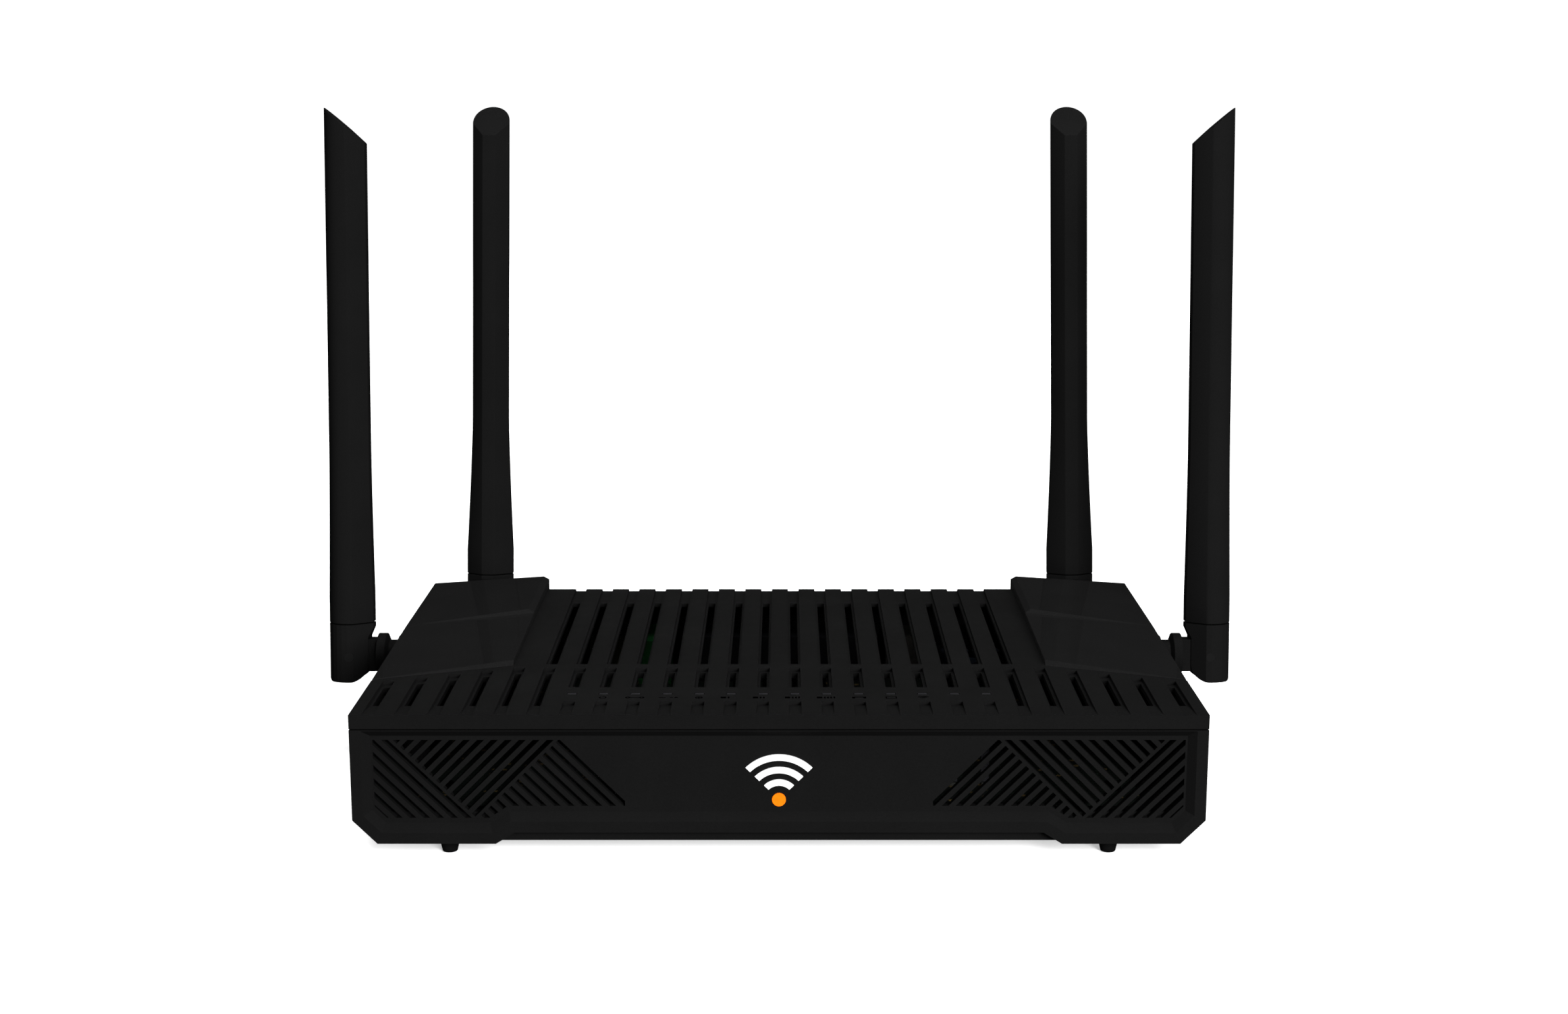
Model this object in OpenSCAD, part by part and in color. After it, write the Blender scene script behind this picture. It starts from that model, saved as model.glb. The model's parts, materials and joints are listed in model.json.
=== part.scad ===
// Desktop wireless router with four folding antennas.
// X runs across it, Y from the front face to the rear ports, and Z is up.
// The origin is the middle of the whole footprint, on the surface it stands on.

/* [Body] */
// Width of the body
body_w = 209.2; // [195:0.2:252]
// Depth of the body, from the front face to the rear wall
body_d = 135; // [112:0.5:162]
// Height of the body above its feet
body_h = 32.85; // [32.85:0.05:40]
// Height of the feet
foot_h = 4; // [3:0.5:8]
// Leg of the slanted lower corners
corner_leg = 6; // [4:0.5:8]
// Thickness of the bottom tray's walls and floor
wall = 2.2; // [1.6:0.1:3]

/* [Top cover] */
// Height of the cover's vertical band
cover_h = 3.5; // [3.2:0.1:6]
// Thickness of the cover's plate
plate_t = 2.4; // [2.2:0.1:3]
// Open line between the cover and the parts under it
seam = 0.35; // [0.2:0.05:0.8]
// Distance from one groove to the next
pitch = 8; // [7:0.25:10]
// Width of the grooves in the front band
groove_w = 3; // [2:0.1:4]
// Depth of the grooves
groove_deep = 1; // [0.6:0.1:1.2]
// Width of the slots through the front band
slot_w = 1.6; // [1:0.1:2]
// Depth of the front band, up to the ribbed panel
band_d = 46.3; // [40:0.1:55]
// Length of the indicator windows, from the front edge
window_l = 11.8; // [8:0.1:14]
// Distance from the front edge to the middle of the indicator lenses
lens_y = 18.7; // [17:0.1:22]
// Number of indicators on each side of the middle
lens_pairs = 7; // [4:1:8]
// Front end of the short grooves behind the indicators
short_y = 24.5; // [22:0.1:30]
// Width of the ribbed panel between the wings
panel_w = 139.8; // [110:0.2:160]
// Drop of the ribbed panel below the front band
panel_drop = 0.4; // [0.2:0.1:0.8]
// Width of the panel's grooves
panel_groove_w = 3.2; // [2:0.1:4]
// Width of the slots through the panel
panel_slot_w = 2; // [1:0.1:2.6]

/* [Wings] */
// Height of a wing's inner edge at the rear
wing_h = 2.96; // [1.5:0.01:5]
// Height of a wing's outer edge at the rear
wing_edge_h = 0.8; // [0.4:0.1:1.2]
// Height of a wing's inner edge at the front band
wing_front_h = 1.2; // [0.8:0.1:1.4]
// Distance from the front face to the step at the outer edge
wing_step_y = 83.5; // [70:0.5:95]
// Distance from the front face to a wing's front end at the outer edge
wing_front_y = 31.7; // [28:0.1:36]
// Depth by which a wing is let into the cover
wing_inset = 1; // [0.6:0.1:1.2]

/* [Front bezel] */
// Thickness of the bezel
bezel_t = 3.6; // [3:0.1:5]
// Depth of the recess in its front
recess_deep = 1.8; // [1:0.1:2.2]
// Width of the rim round the recess
rim_w = 2.8; // [2:0.1:4]
// Width of the slope from the rim to the recess
slope_w = 2; // [1:0.1:3]
// Width of the notch in the lower edge
notch_w = 139; // [100:0.5:150]
// Height of the notch
notch_h = 2.9; // [2:0.1:4]
// Distance from one grille slot to the next
grille_pitch = 3.4; // [3:0.1:4]
// Width of a grille slot, measured across
grille_slot = 1.64; // [1:0.02:2]

/* [Antennas] */
// Whole height of an antenna from the end of its knuckle to its tip
antenna_l = 161; // [120:1:200]
// Thickness of the blade at its top
blade_t = 11.5; // [9:0.1:13]
// Width of the blade at its top, along the hinge pin
blade_w = 11.2; // [9:0.1:13]
// Setback of the blade's back from the back of the knuckle
blade_setback = 0.5; // [0:0.1:1]
// Width of the knuckle along the hinge pin
knuckle_w = 14.3; // [13:0.1:17]
// Thickness of the blade where it meets the knuckle
knuckle_t = 12.6; // [11:0.1:14]
// Diameter of the hinge pin
pin_d = 2.5; // [2:0.1:3]
// Diameter of the swivel shaft in its bushing
shaft_d = 5.1; // [4.5:0.1:6]
// Height of the swivel axes below the top of the cover
axis_drop = 9.4; // [8:0.1:11]
// Distance from the rear face to the side antennas
side_antenna_back = 44; // [35:0.5:60]
// Distance of the rear antennas from the middle
rear_antenna_x = 90.2; // [86:0.1:100]
// Lean of the side antennas towards the rear
side_lean = 7; // [0:0.5:20]
// Lean of the rear antennas towards the rear
rear_lean = 7.5; // [0:0.5:20]
// Lean of the rear antennas towards each other, in degrees
rear_tilt = 0.6; // [0:0.1:3]

/* [Ports] */
// Thickness of the circuit board
board_t = 1.6; // [1.2:0.1:2]
// Height of the board above the tray's floor
board_lift = 5; // [4:0.5:7]
// Number of network jacks
jack_count = 4; // [1:1:4]
// Width of the room for one network jack
jack_w = 14.4; // [13.8:0.1:15]
// Diameter of the coaxial connector's threaded barrel
coax_d = 9.52; // [9:0.01:10]
// Diameter of the power inlet's mouth
inlet_d = 6.3; // [5:0.1:7]
// Distance between the two wall-hanging keyholes
hang_w = 120; // [80:1:150]

/* [Fits] */
// Radial play of a shaft or pin that turns
turn_play = 0.05; // [0.02:0.01:0.1]
// Play between a button and what it slides in
slide_play = 0.3; // [0.2:0.05:0.5]
// Play between parts that are put together and stay
fit_play = 0.15; // [0.1:0.05:0.3]

/* [Hidden] */
$fn = 64;
e = 0.01;

ANTENNAS = ["left", "right", "rear_left", "rear_right"];
ANTENNA_PARTS = ["bushing", "swivel", "pin", "knuckle", "sleeve", "radiator"];
FEET = ["front_left_foot", "front_right_foot", "rear_left_foot", "rear_right_foot"];

// Heights
z_low = foot_h;
z_top = foot_h + body_h;
z_cover = z_top - cover_h;
z_bezel = z_cover - seam;
z_floor = z_low + wall;
z_board = z_floor + board_lift;
z_parts = z_board + board_t;
z_axis = z_top - axis_drop;

// The antenna hinge, measured outwards from the wall that it is mounted on
bushing_d = 8.2;
flange_d = 10.6;
flange_l = 3.4;
stub_d = 8.2;
collar_d = 12;
collar_from = 6.4;
collar_to = 9.2;
neck_h = 9.1;
neck_t = 6;
pin_out = 16.6;
side_antenna_y = body_d - side_antenna_back;
pin_up = 7.2;
cheek_out = 11.8;
outer_out = 23;
cheek_h = 16.3;
lip_h = 1.2;
lip_slope = 2.8;
flare_from = 24;
flare_to = 65;
tip_drop = 9.9;
facet_w = 3.9;
gap_line = 0.25;
tip_above_pin = antenna_l - pin_up;

// Places across the footprint. The leaning rear antennas set the rear end
reach_rear = max(
    pin_out + tip_above_pin * sin(rear_lean)
        + (outer_out - blade_setback - pin_out) * cos(rear_lean),
    outer_out
);
y_front = -(body_d + reach_rear) / 2;
y_rear = y_front + body_d;
x_side = body_w / 2;
y_tray = y_front + bezel_t + 0.1;

// Grooves of the cover, as the distance of each from the middle
groove_xs = [for (k = [0:floor((x_side - 2.6) / pitch - 0.5)]) (k + 0.5) * pitch];
wing_out_w = x_side - panel_w / 2;
front_slope = (band_d - wing_front_y) / wing_out_w;
groove_end_back = 3.7;
side_slot_from = 11;
slot_short = 2.5;
panel_slot_from = 1.2;
panel_slot_back = 17.2;
panel_rear_bevel = 2.7;
lens_w = 2.5;
lens_l = 1.3;

// Wing surface: rises inwards and rearwards from its front outer corner
wing_rise_in = (wing_front_h - (band_d - wing_front_y) * wing_edge_h
    / (wing_step_y - wing_front_y)) / wing_out_w;
wing_rise_back = wing_edge_h / (wing_step_y - wing_front_y);
wing_step_in = 11.5;
wing_bevel = 1.4;
wing_chamfer_w = 1.6;
wing_chamfer_h = 0.88;

// Front: angle of the notch's slanted ends to the bezel's lower edge, and place of the sign
notch_angle = 32.2;
notch_run = notch_h / tan(notch_angle);
badge_z = z_top - 22;
badge_t = 0.35;

// Inside the body
screw_x = x_side - 7.6;
boss_lift = 8;
z_boss = z_parts + boss_lift;
tray_screw_d = 2.4;
tray_screw_head = [5, 2];
tray_screw_l = 16;
tray_screw_lift = 4;
board_screw_d = 2;
board_screw_head = [4.2, 1.6];
board_screw_l = 6;
standoff_d = 6;
pilot_play = 0.1;
foot_hole_d = 3;
foot_hole_l = 1.2;
hang_head_d = 8;
hang_neck_d = 4;
hang_run = 7;
vent_w = 2.4;
vent_l = 24;
processor_y = body_d * 0.46;
shield_x = 52;
shield_h = 3;
processor_h = 1.8;
sink_w = 34;
sink_h = 9;
sink_base = 2;
fin_t = 1.2;
fin_pitch = 4.1;
lead_d = 1.4;
screw_ys = [50, body_d - 23];
boss_d = 7;
board_w = body_w - 29.2;
board_d = body_d - 13;
board_front = 7.5;
board_screw_x = board_w / 2 - 6;
board_screw_ys = [16, body_d - 24];
foot_x = x_side - 22.8;
foot_ys = [6.5, body_d - 6.5];

// Rear wall, as the distance of each port from the middle
jack_h = 13.4;
jack_d = 21;
jack_mouth_w = 11.8;
jack_mouth_h = 6.9;
jack_mouth_d = 13;
jacks_w = jack_count * jack_w;
jacks_x = 0;
phone_w = 13.2;
phone_h = 12.6;
phone_x = jacks_w / 2 + phone_w / 2 + 2.6;
reset_x = phone_x + phone_w / 2 + 4.4;
inlet_w = 9.4;
inlet_h = 11;
inlet_up = 6.2;
inlet_x = reset_x + 4.2 + inlet_w / 2;
power_w = 9;
power_h = 9;
power_x = inlet_x + inlet_w / 2 + power_w / 2 + 3.2;
optical_w = 9.6;
optical_h = 13;
optical_x = -jacks_w / 2 - optical_w / 2 - 3.2;
coax_x = optical_x - optical_w / 2 - 9;
coax_collar_d = coax_d + 1.6;
coax_up = 7.5;
key_w = 6;
key_h = 5;
reset_hole_d = 2.4;
stem_d = 3;
switch_gap = 2;
wps_x = coax_x - 11.6;
wifi_x = wps_x - key_w - 3;
button_z = z_parts + 5;
travel = 0.6;
power_travel = 1.5;

function side(s) = s == "left" || s == "rear_left" ? -1 : 1;

// A block between two corners
module block(low, high) {
    translate(low) cube(high - low);
}

// A solid with an outline in X and Z, from one distance behind the front to another
module across(from, to) {
    translate([0, y_front + to, 0]) rotate([90, 0, 0]) linear_extrude(to - from) children();
}

// Moves a shape that points along +Z so that it points along +Y
module rearwards(x, y, z) {
    translate([x, y, z]) rotate([-90, 0, 0]) children();
}

// Both halves of a shape that is drawn on the right
module both_sides() {
    children();
    mirror([1, 0, 0]) children();
}

// ---- Top cover ----

// Rear end of a groove of the front band, kept clear of the wing
function groove_end(x) = min(
    band_d - groove_end_back,
    wing_front_y + (x_side - x) * front_slope - groove_end_back
);

// A groove that starts as a ramp at the front edge
module ramped_groove(x, end) {
    translate([x + groove_w / 2, y_front, z_top])
        rotate([90, 0, -90])
            linear_extrude(groove_w)
                polygon([
                    [e, e], [-min(window_l, end), -groove_deep],
                    [-end, -groove_deep], [-end, e]
                ]);
}

module slot(x, w, from, to) {
    block(
        [x - w / 2, y_front + from, z_top - plate_t - 1],
        [x + w / 2, y_front + to, z_top + 1]
    );
}

module band_openings() {
    for (k = [0:len(groove_xs) - 1], s = [-1, 1]) {
        x = s * groove_xs[k];
        if (k < lens_pairs) {
            ramped_groove(x, window_l);
            slot(x, lens_w, lens_y - lens_l / 2, lens_y + lens_l / 2);
            block(
                [x - groove_w / 2, y_front + short_y, z_top - groove_deep],
                [x + groove_w / 2, y_front + band_d - groove_end_back, z_top + 1]
            );
            slot(x, slot_w, short_y + 1.4, band_d - groove_end_back - 1.4);
        } else {
            end = groove_end(groove_xs[k]);
            ramped_groove(x, end);
            slot(x, slot_w, side_slot_from, end - slot_short);
        }
    }
}

module panel_openings() {
    z_panel = z_top - panel_drop;
    for (x = groove_xs, s = [-1, 1])
        if (x + panel_groove_w / 2 + 1 < panel_w / 2) {
            block(
                [s * x - panel_groove_w / 2, y_front + band_d, z_panel - groove_deep + 0.1],
                [s * x + panel_groove_w / 2, y_rear + 1, z_top + 1]
            );
            slot(s * x, panel_slot_w, band_d + panel_slot_from, body_d - panel_slot_back);
        }
}

// Plan of a wing and of the pocket that it lies in, on the right
module wing_plan(play) {
    polygon([
        [panel_w / 2 - play, y_front + band_d - wing_bevel - play],
        [x_side + 1, y_front + wing_front_y - wing_bevel - play],
        [x_side + 1, y_rear + 1],
        [panel_w / 2 - play, y_rear + 1]
    ]);
}

module cover_boss(x, y) {
    translate([x, y, z_boss]) cylinder(d = boss_d, h = z_top - plate_t + e - z_boss);
}

// Lip that drops inside the tray's walls, left out round the antenna bushings
module cover_lip() {
    lip_t = 1.2;
    lip_h = 2.4;
    x = x_side - wall - fit_play;
    front = y_tray + fit_play;
    rear = y_rear - wall - fit_play;
    difference() {
        block([-x, front, z_cover - lip_h], [x, rear, z_top - plate_t + e]);
        block(
            [-x + lip_t, front + lip_t, z_cover - lip_h - 1],
            [x - lip_t, rear - lip_t, z_top]
        );
        for (s = [-1, 1]) {
            block(
                [s * x_side - 8, y_front + side_antenna_y - 9, 0],
                [s * x_side + 8, y_front + side_antenna_y + 9, z_cover + 0.5]
            );
            block(
                [s * rear_antenna_x - 9, y_rear - 8, 0],
                [s * rear_antenna_x + 9, y_rear, z_cover + 0.5]
            );
        }
    }
}

module top_cover() {
    color("#19191a")
    difference() {
        union() {
            difference() {
                block([-x_side, y_front, z_cover], [x_side, y_rear, z_top]);
                block(
                    [-x_side + wall, y_front + wall, z_cover - 1],
                    [x_side - wall, y_rear - wall, z_top - plate_t]
                );
            }
            cover_lip();
            for (s = [-1, 1], y = screw_ys)
                cover_boss(s * screw_x, y_front + y);
        }
        band_openings();
        block(
            [-panel_w / 2, y_front + band_d, z_top - panel_drop],
            [panel_w / 2, y_rear + 1, z_top + 1]
        );
        panel_openings();
        // bevel along the rear edge of the panel
        translate([panel_w / 2, y_rear, z_top])
            rotate([90, 0, -90])
                linear_extrude(panel_w)
                    polygon([
                        [panel_rear_bevel, 1], [panel_rear_bevel, -panel_drop],
                        [-e, -panel_drop - 2], [-1, -panel_drop - 2], [-1, 1]
                    ]);
        both_sides() translate([0, 0, z_top - wing_inset]) linear_extrude(wing_inset + 1)
            wing_plan(0);
        // pilot holes for the tray's screws
        for (s = [-1, 1], y = screw_ys)
            translate([s * screw_x, y_front + y, z_boss - 1])
                cylinder(d = tray_screw_d + pilot_play, h = 12);
    }
}

// ---- Wings ----

// Height of the middle facet above the cover, x from the middle, y from the front face
function wing_z(x, y) = wing_rise_in * (x_side - x) + wing_rise_back * (y - wing_front_y);

module wing() {
    xi = panel_w / 2;
    xc = xi + wing_chamfer_w;
    step_in = wing_step_y + wing_step_in;
    step_mid = step_in - wing_step_in * wing_chamfer_w / wing_out_w;
    front_in = band_d - wing_bevel;
    points = [
        [x_side, body_d, wing_edge_h],
        [xc, body_d, wing_h],
        [xi, body_d, wing_h - wing_chamfer_h],
        [x_side, wing_step_y, wing_edge_h],
        [xc, step_mid, wing_h],
        [xi, step_in, wing_h - wing_chamfer_h],
        [xi, step_in - wing_bevel, wing_z(xi, step_in - wing_bevel)],
        [xi, band_d, wing_z(xi, band_d)],
        [x_side, wing_front_y, 0],
        [xi, front_in, 0],
        [x_side, body_d, -wing_inset],
        [xi, body_d, -wing_inset],
        [xi, front_in, -wing_inset],
        [x_side, wing_front_y, -wing_inset]
    ];
    translate([0, y_front, z_top]) polyhedron(points, [
        [0, 3, 4, 1], [1, 4, 5, 2], [3, 6, 4], [4, 6, 5],
        [3, 8, 7, 6], [8, 9, 7], [2, 5, 6, 7, 9, 12, 11],
        [0, 10, 13, 8, 3], [0, 1, 2, 11, 10], [10, 11, 12, 13], [8, 13, 12, 9]
    ]);
}

module right_wing() {
    color("#1d1d1f") wing();
}

module left_wing() {
    color("#1d1d1f") mirror([1, 0, 0]) wing();
}

// ---- Front bezel ----

module bezel_outline() {
    half = [
        [x_side, z_bezel], [x_side, z_low + corner_leg], [x_side - corner_leg, z_low],
        [notch_w / 2, z_low], [notch_w / 2 - notch_run, z_low + notch_h]
    ];
    polygon(concat(half, [for (k = [len(half) - 1:-1:0]) [-half[k][0], half[k][1]]]));
}

// Everything on the inner side of one slope of the recess. phi is the way that the slope's
// edge faces, from 0 for +X to 90 for +Z; the other two are its distances from the point
// X = 0, Z = 0, at the front face and at the recess's floor; over lengthens it in depth
module inside_of(phi, at_front, at_floor, over = 0.1) {
    big = 2 * body_w;
    rate = (at_floor - at_front) / recess_deep;
    translate([0, y_front, 0]) rotate([0, -phi, 0]) linear_extrude(big, center = true)
        polygon([
            [-big, -over], [at_front - rate * over, -over],
            [at_floor + rate * (over - 0.1), recess_deep + over - 0.1],
            [-big, recess_deep + over - 0.1]
        ]);
}

// The border of the recess along the notch, which stays
module notch_ridge() {
    far = rim_w + slope_w;
    edge = notch_w / 2 * sin(notch_angle) + z_low * cos(notch_angle);
    over = 0.3;
    intersection() {
        inside_of(90, z_low + notch_h + rim_w, z_low + notch_h + far, over);
        inside_of(90 - notch_angle, edge + rim_w, edge + far, over);
        inside_of(90 + notch_angle, edge + rim_w, edge + far, over);
    }
}

module bezel_recess() {
    far = rim_w + slope_w;
    top_rim = 0.2;
    corner = (x_side - corner_leg - z_low) / sqrt(2);
    difference() {
        intersection() {
            inside_of(0, x_side - rim_w, x_side - far);
            inside_of(180, x_side - rim_w, x_side - far);
            inside_of(90, z_bezel - top_rim, z_bezel - top_rim - slope_w * 0.85);
            inside_of(-90, -z_low - rim_w, -z_low - far);
            inside_of(-45, corner - rim_w, corner - far);
            inside_of(-135, corner - rim_w, corner - far);
        }
        notch_ridge();
    }
}

// One slanted stripe: x is its left end at the top, lean 1 falls to the right, -1 to the left
module stripe(x, lean, top, h) {
    polygon([
        [x, top], [x + grille_slot, top],
        [x + grille_slot + lean * h, top - h], [x + lean * h, top - h]
    ]);
}

// The left field of slots: three groups that meet along slanted lines
module grille_slots() {
    top = z_top - 6.8;
    low = z_low + 6.05;
    h = top - low;
    gap = 1.15;
    left = -x_side + 5.3;
    x_ab = left + 3.8;
    x_bc = x_ab + 12 * grille_pitch - 0.3;
    right = x_bc + 17.2;
    in = notch_w / 2 + 1.7;
    intersection() {
        polygon([
            [left, top], [right, top], [right, low + notch_h + 0.2],
            [-in + notch_run, low + notch_h + 0.2], [-in, low],
            [left + 2.9, low], [left, low + 2.9]
        ]);
        union() {
            for (k = [0:ceil((h + 3.8) / grille_pitch)])
                stripe(x_ab - grille_slot - k * grille_pitch, 1, top, h);
            intersection() {
                apex = (x_bc - x_ab - gap) / 2;
                polygon([[x_ab + gap, top], [x_bc, top], [x_bc - apex, top - apex]]);
                for (k = [0:12])
                    stripe(x_bc - grille_slot - k * grille_pitch, -1, top, h);
            }
            intersection() {
                polygon([
                    [x_bc + gap, top], [right, top], [right, low], [x_bc + gap - h, low]
                ]);
                for (k = [0:ceil(2 * h / grille_pitch)])
                    stripe(x_bc - 0.1 - k * grille_pitch, 1, top, h);
            }
        }
    }
}

// Tabs behind the bezel that snap inside the tray's side walls
module bezel_tabs() {
    for (s = [-1, 1]) {
        x = s * (x_side - wall - fit_play - 0.9);
        block(
            [x - 0.9, y_front + bezel_t - e, z_low + corner_leg + 6],
            [x + 0.9, y_tray + 7, z_low + corner_leg + 15]
        );
    }
}

module front_bezel() {
    color("#1a1a1b")
    difference() {
        difference() {
            union() {
                across(0, bezel_t) bezel_outline();
                bezel_tabs();
            }
            bezel_recess();
        }
        both_sides() across(recess_deep - 0.5, bezel_t + 1) grille_slots();
    }
}

// A plain signal sign stuck in the middle of the recess: three arcs over a dot
module badge_arcs() {
    color("#f2f2f2")
    across(recess_deep - badge_t, recess_deep)
        translate([0, badge_z])
            for (r = [4.4, 7.6, 10.8])
                intersection() {
                    difference() {
                        circle(r + 0.8);
                        circle(r - 0.8);
                    }
                    polygon([[0, 0], [20, 20], [-20, 20]]);
                }
}

module badge_dot() {
    color("#ee7a1a")
    across(recess_deep - badge_t, recess_deep) translate([0, badge_z]) circle(1.7);
}

// ---- Bottom tray ----

// The tray's section; the walls are drawn in by one distance and end at a height
module tray_section(in, top) {
    x = x_side - in;
    low = z_low + in;
    leg = corner_leg - in * (2 - sqrt(2));
    polygon([[-x, top], [-x, low + leg], [-x + leg, low], [x - leg, low], [x, low + leg], [x, top]]);
}

// Low front wall with a lip that shows under the bezel's notch
module tray_front() {
    low_w = notch_w / 2 - 0.4;
    across(notch_h - 0.2, bezel_t + 2)
        polygon([
            [-low_w, z_low], [low_w, z_low],
            [low_w - notch_run, z_low + notch_h - fit_play],
            [-low_w + notch_run, z_low + notch_h - fit_play]
        ]);
    block([-x_side + 9, y_tray, z_low], [x_side - 9, y_tray + 2, z_low + 7]);
}

module tray_bosses() {
    for (s = [-1, 1]) {
        for (y = screw_ys)
            translate([s * screw_x, y_front + y, z_low + 0.5])
                cylinder(d = boss_d, h = z_boss - fit_play - z_low - 0.5);
        for (y = board_screw_ys)
            translate([s * board_screw_x, y_front + y, z_low + 0.5])
                cylinder(d = standoff_d, h = z_board - z_low - 0.5);
    }
}

module screw_holes() {
    for (s = [-1, 1]) {
        for (y = screw_ys) translate([s * screw_x, y_front + y, 0]) {
            cylinder(d = tray_screw_d + 0.9, h = z_top);
            cylinder(d = tray_screw_head[0] + 0.6, h = z_floor + tray_screw_lift + tray_screw_head[1]);
        }
        for (y = board_screw_ys)
            translate([s * board_screw_x, y_front + y, z_floor])
                cylinder(d = board_screw_d + pilot_play, h = 10);
    }
}

// Round hole that takes a wall screw's head, with a slot towards the front for its neck
module keyhole(x) {
    translate([x, y_front + body_d / 2, 0]) {
        cylinder(d = hang_head_d, h = z_board - 1);
        translate([0, -hang_run, 0]) cylinder(d = hang_neck_d, h = z_board - 1);
        translate([-hang_neck_d / 2, -hang_run, 0]) cube([hang_neck_d, hang_run, z_board - 1]);
    }
}

module floor_vents() {
    n = floor((board_w / 2 - 14) / pitch);
    for (k = [-n:n], y = [vent_l, body_d - 2 * vent_l])
        if (abs(abs(k * pitch) - hang_w / 2) > hang_head_d)
            block(
                [k * pitch - vent_w / 2, y_front + y, z_low - 1],
                [k * pitch + vent_w / 2, y_front + y + vent_l, z_floor + 1]
            );
}

// Cuts through the rear wall: the part's half-width, its bottom and its top
module rear_cut(x, half, low, high) {
    block([x - half, y_rear - wall - 1, low], [x + half, y_rear + 1, high]);
}

module rear_openings() {
    p = slide_play;
    rear_cut(jacks_x, jacks_w / 2 + p, z_parts - p, z_parts + jack_h + p);
    rear_cut(phone_x, phone_w / 2 + p, z_parts - p, z_parts + phone_h + p);
    rear_cut(optical_x, optical_w / 2 + p, z_parts - p, z_parts + optical_h + p);
    rear_cut(inlet_x, inlet_w / 2 + p, z_parts - p, z_parts + inlet_h + p);
    rear_cut(power_x, power_w / 2 + p, button_z - power_h / 2 - p, button_z + power_h / 2 + p);
    for (x = [wps_x, wifi_x])
        rear_cut(x, key_w / 2 + p, button_z - key_h / 2 - p, button_z + key_h / 2 + p);
    rearwards(reset_x, y_rear - wall - 1, button_z) cylinder(d = reset_hole_d, h = wall + 2);
    rearwards(coax_x, y_rear - wall - 1, z_parts + coax_up)
        cylinder(d = coax_collar_d + 2 * p, h = wall + 2);
}

module bushing_holes() {
    for (a = ANTENNAS)
        at_antenna(a)
            translate([1, 0, 0])
                rotate([0, -90, 0]) cylinder(d = bushing_d + 2 * fit_play, h = wall + 2);
}

module foot_at(k) {
    translate([(k % 2 == 0 ? -1 : 1) * foot_x, y_front + foot_ys[k < 2 ? 0 : 1], 0]) children();
}

module bottom_tray() {
    color("#151516")
    difference() {
        union() {
            difference() {
                across(bezel_t + 0.1, body_d) tray_section(0, z_bezel);
                across(bezel_t - 1, body_d - wall) tray_section(wall, z_bezel + 1);
            }
            tray_front();
            tray_bosses();
        }
        screw_holes();
        for (s = [-1, 1]) keyhole(s * hang_w / 2);
        floor_vents();
        rear_openings();
        bushing_holes();
        for (k = [0:3]) foot_at(k)
            translate([0, 0, z_low - 1]) cylinder(d = foot_hole_d, h = 1 + foot_hole_l);
    }
}

module foot() {
    color("#0f0f10")
    rotate_extrude() polygon([
        [0, 0], [1.85, 0], [2.75, z_low], [1.5, z_low], [1.5, z_low + 1.1], [0, z_low + 1.1]
    ]);
}

// ---- Screws ----

// A screw from its thread, the diameter and height of its head, and its whole length
module screw(thread_d, head, l) {
    head_d = head[0];
    head_h = head[1];
    difference() {
        union() {
            cylinder(d = head_d, h = head_h);
            translate([0, 0, head_h - e]) cylinder(d = thread_d, h = l - head_h);
        }
        // cross recess
        for (a = [0, 90])
            rotate([0, 0, a]) translate([-head_d * 0.3, -0.3, -1]) cube([head_d * 0.6, 0.6, 1.8]);
    }
}

module tray_screws() {
    color("#8c8f94")
    for (s = [-1, 1], y = screw_ys)
        translate([s * screw_x, y_front + y, z_floor + tray_screw_lift])
            screw(tray_screw_d, tray_screw_head, tray_screw_l);
}

module board_screws() {
    color("#9a9da2")
    for (s = [-1, 1], y = board_screw_ys)
        translate([s * board_screw_x, y_front + y, z_parts + board_screw_head[1]])
            mirror([0, 0, 1]) screw(board_screw_d, board_screw_head, board_screw_l);
}

// ---- Board and its parts ----

module main_board() {
    color("#1f5a37")
    difference() {
        block(
            [-board_w / 2, y_front + board_front, z_board],
            [board_w / 2, y_front + board_front + board_d - 2.8, z_parts]
        );
        for (s = [-1, 1], y = board_screw_ys)
            translate([s * board_screw_x, y_front + y, 0]) cylinder(d = board_screw_d + 0.6, h = z_top);
    }
}

module chip(x, y, w, d, h) {
    block(
        [x - w / 2, y_front + y - d / 2, z_parts],
        [x + w / 2, y_front + y + d / 2, z_parts + h]
    );
}

module processor() {
    color("#2a2a2c") chip(0, processor_y, 19, 19, processor_h);
}

module heatsink() {
    half = sink_w / 2;
    color("#a8abb0") translate([0, y_front + processor_y, z_parts + processor_h]) {
        block([-half, -half, 0], [half, half, sink_base]);
        for (x = [-half:fin_pitch:half - fin_t])
            block([x, -half, sink_base - e], [x + fin_t, half, sink_h]);
    }
}

module radio_shield_24() {
    color("#b9bcc0") chip(-shield_x, processor_y, 32, 26, shield_h);
}

module radio_shield_5() {
    color("#b9bcc0") chip(shield_x, processor_y, 36, 30, shield_h);
}

module memory_chips() {
    color("#2a2a2c") {
        chip(-24, processor_y - 6, 9, 13, 1.2);
        chip(-24, processor_y + 11, 9, 13, 1.2);
        chip(25.5, processor_y + 10, 7, 10, 1.4);
    }
}

module indicator_leds() {
    color("#f4f1dd")
    for (k = [0:lens_pairs - 1], s = [-1, 1]) chip(s * groove_xs[k], lens_y, 1.6, 0.9, 0.8);
}

module capacitors() {
    color("#3b3f46")
    for (p = [[inlet_x - 7, 30, 8], [inlet_x + 2, 30, 8], [inlet_x - 4, 41, 6.3]])
        translate([p[0], y_rear - p[1], z_parts]) cylinder(d = p[2], h = 12);
}

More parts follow.
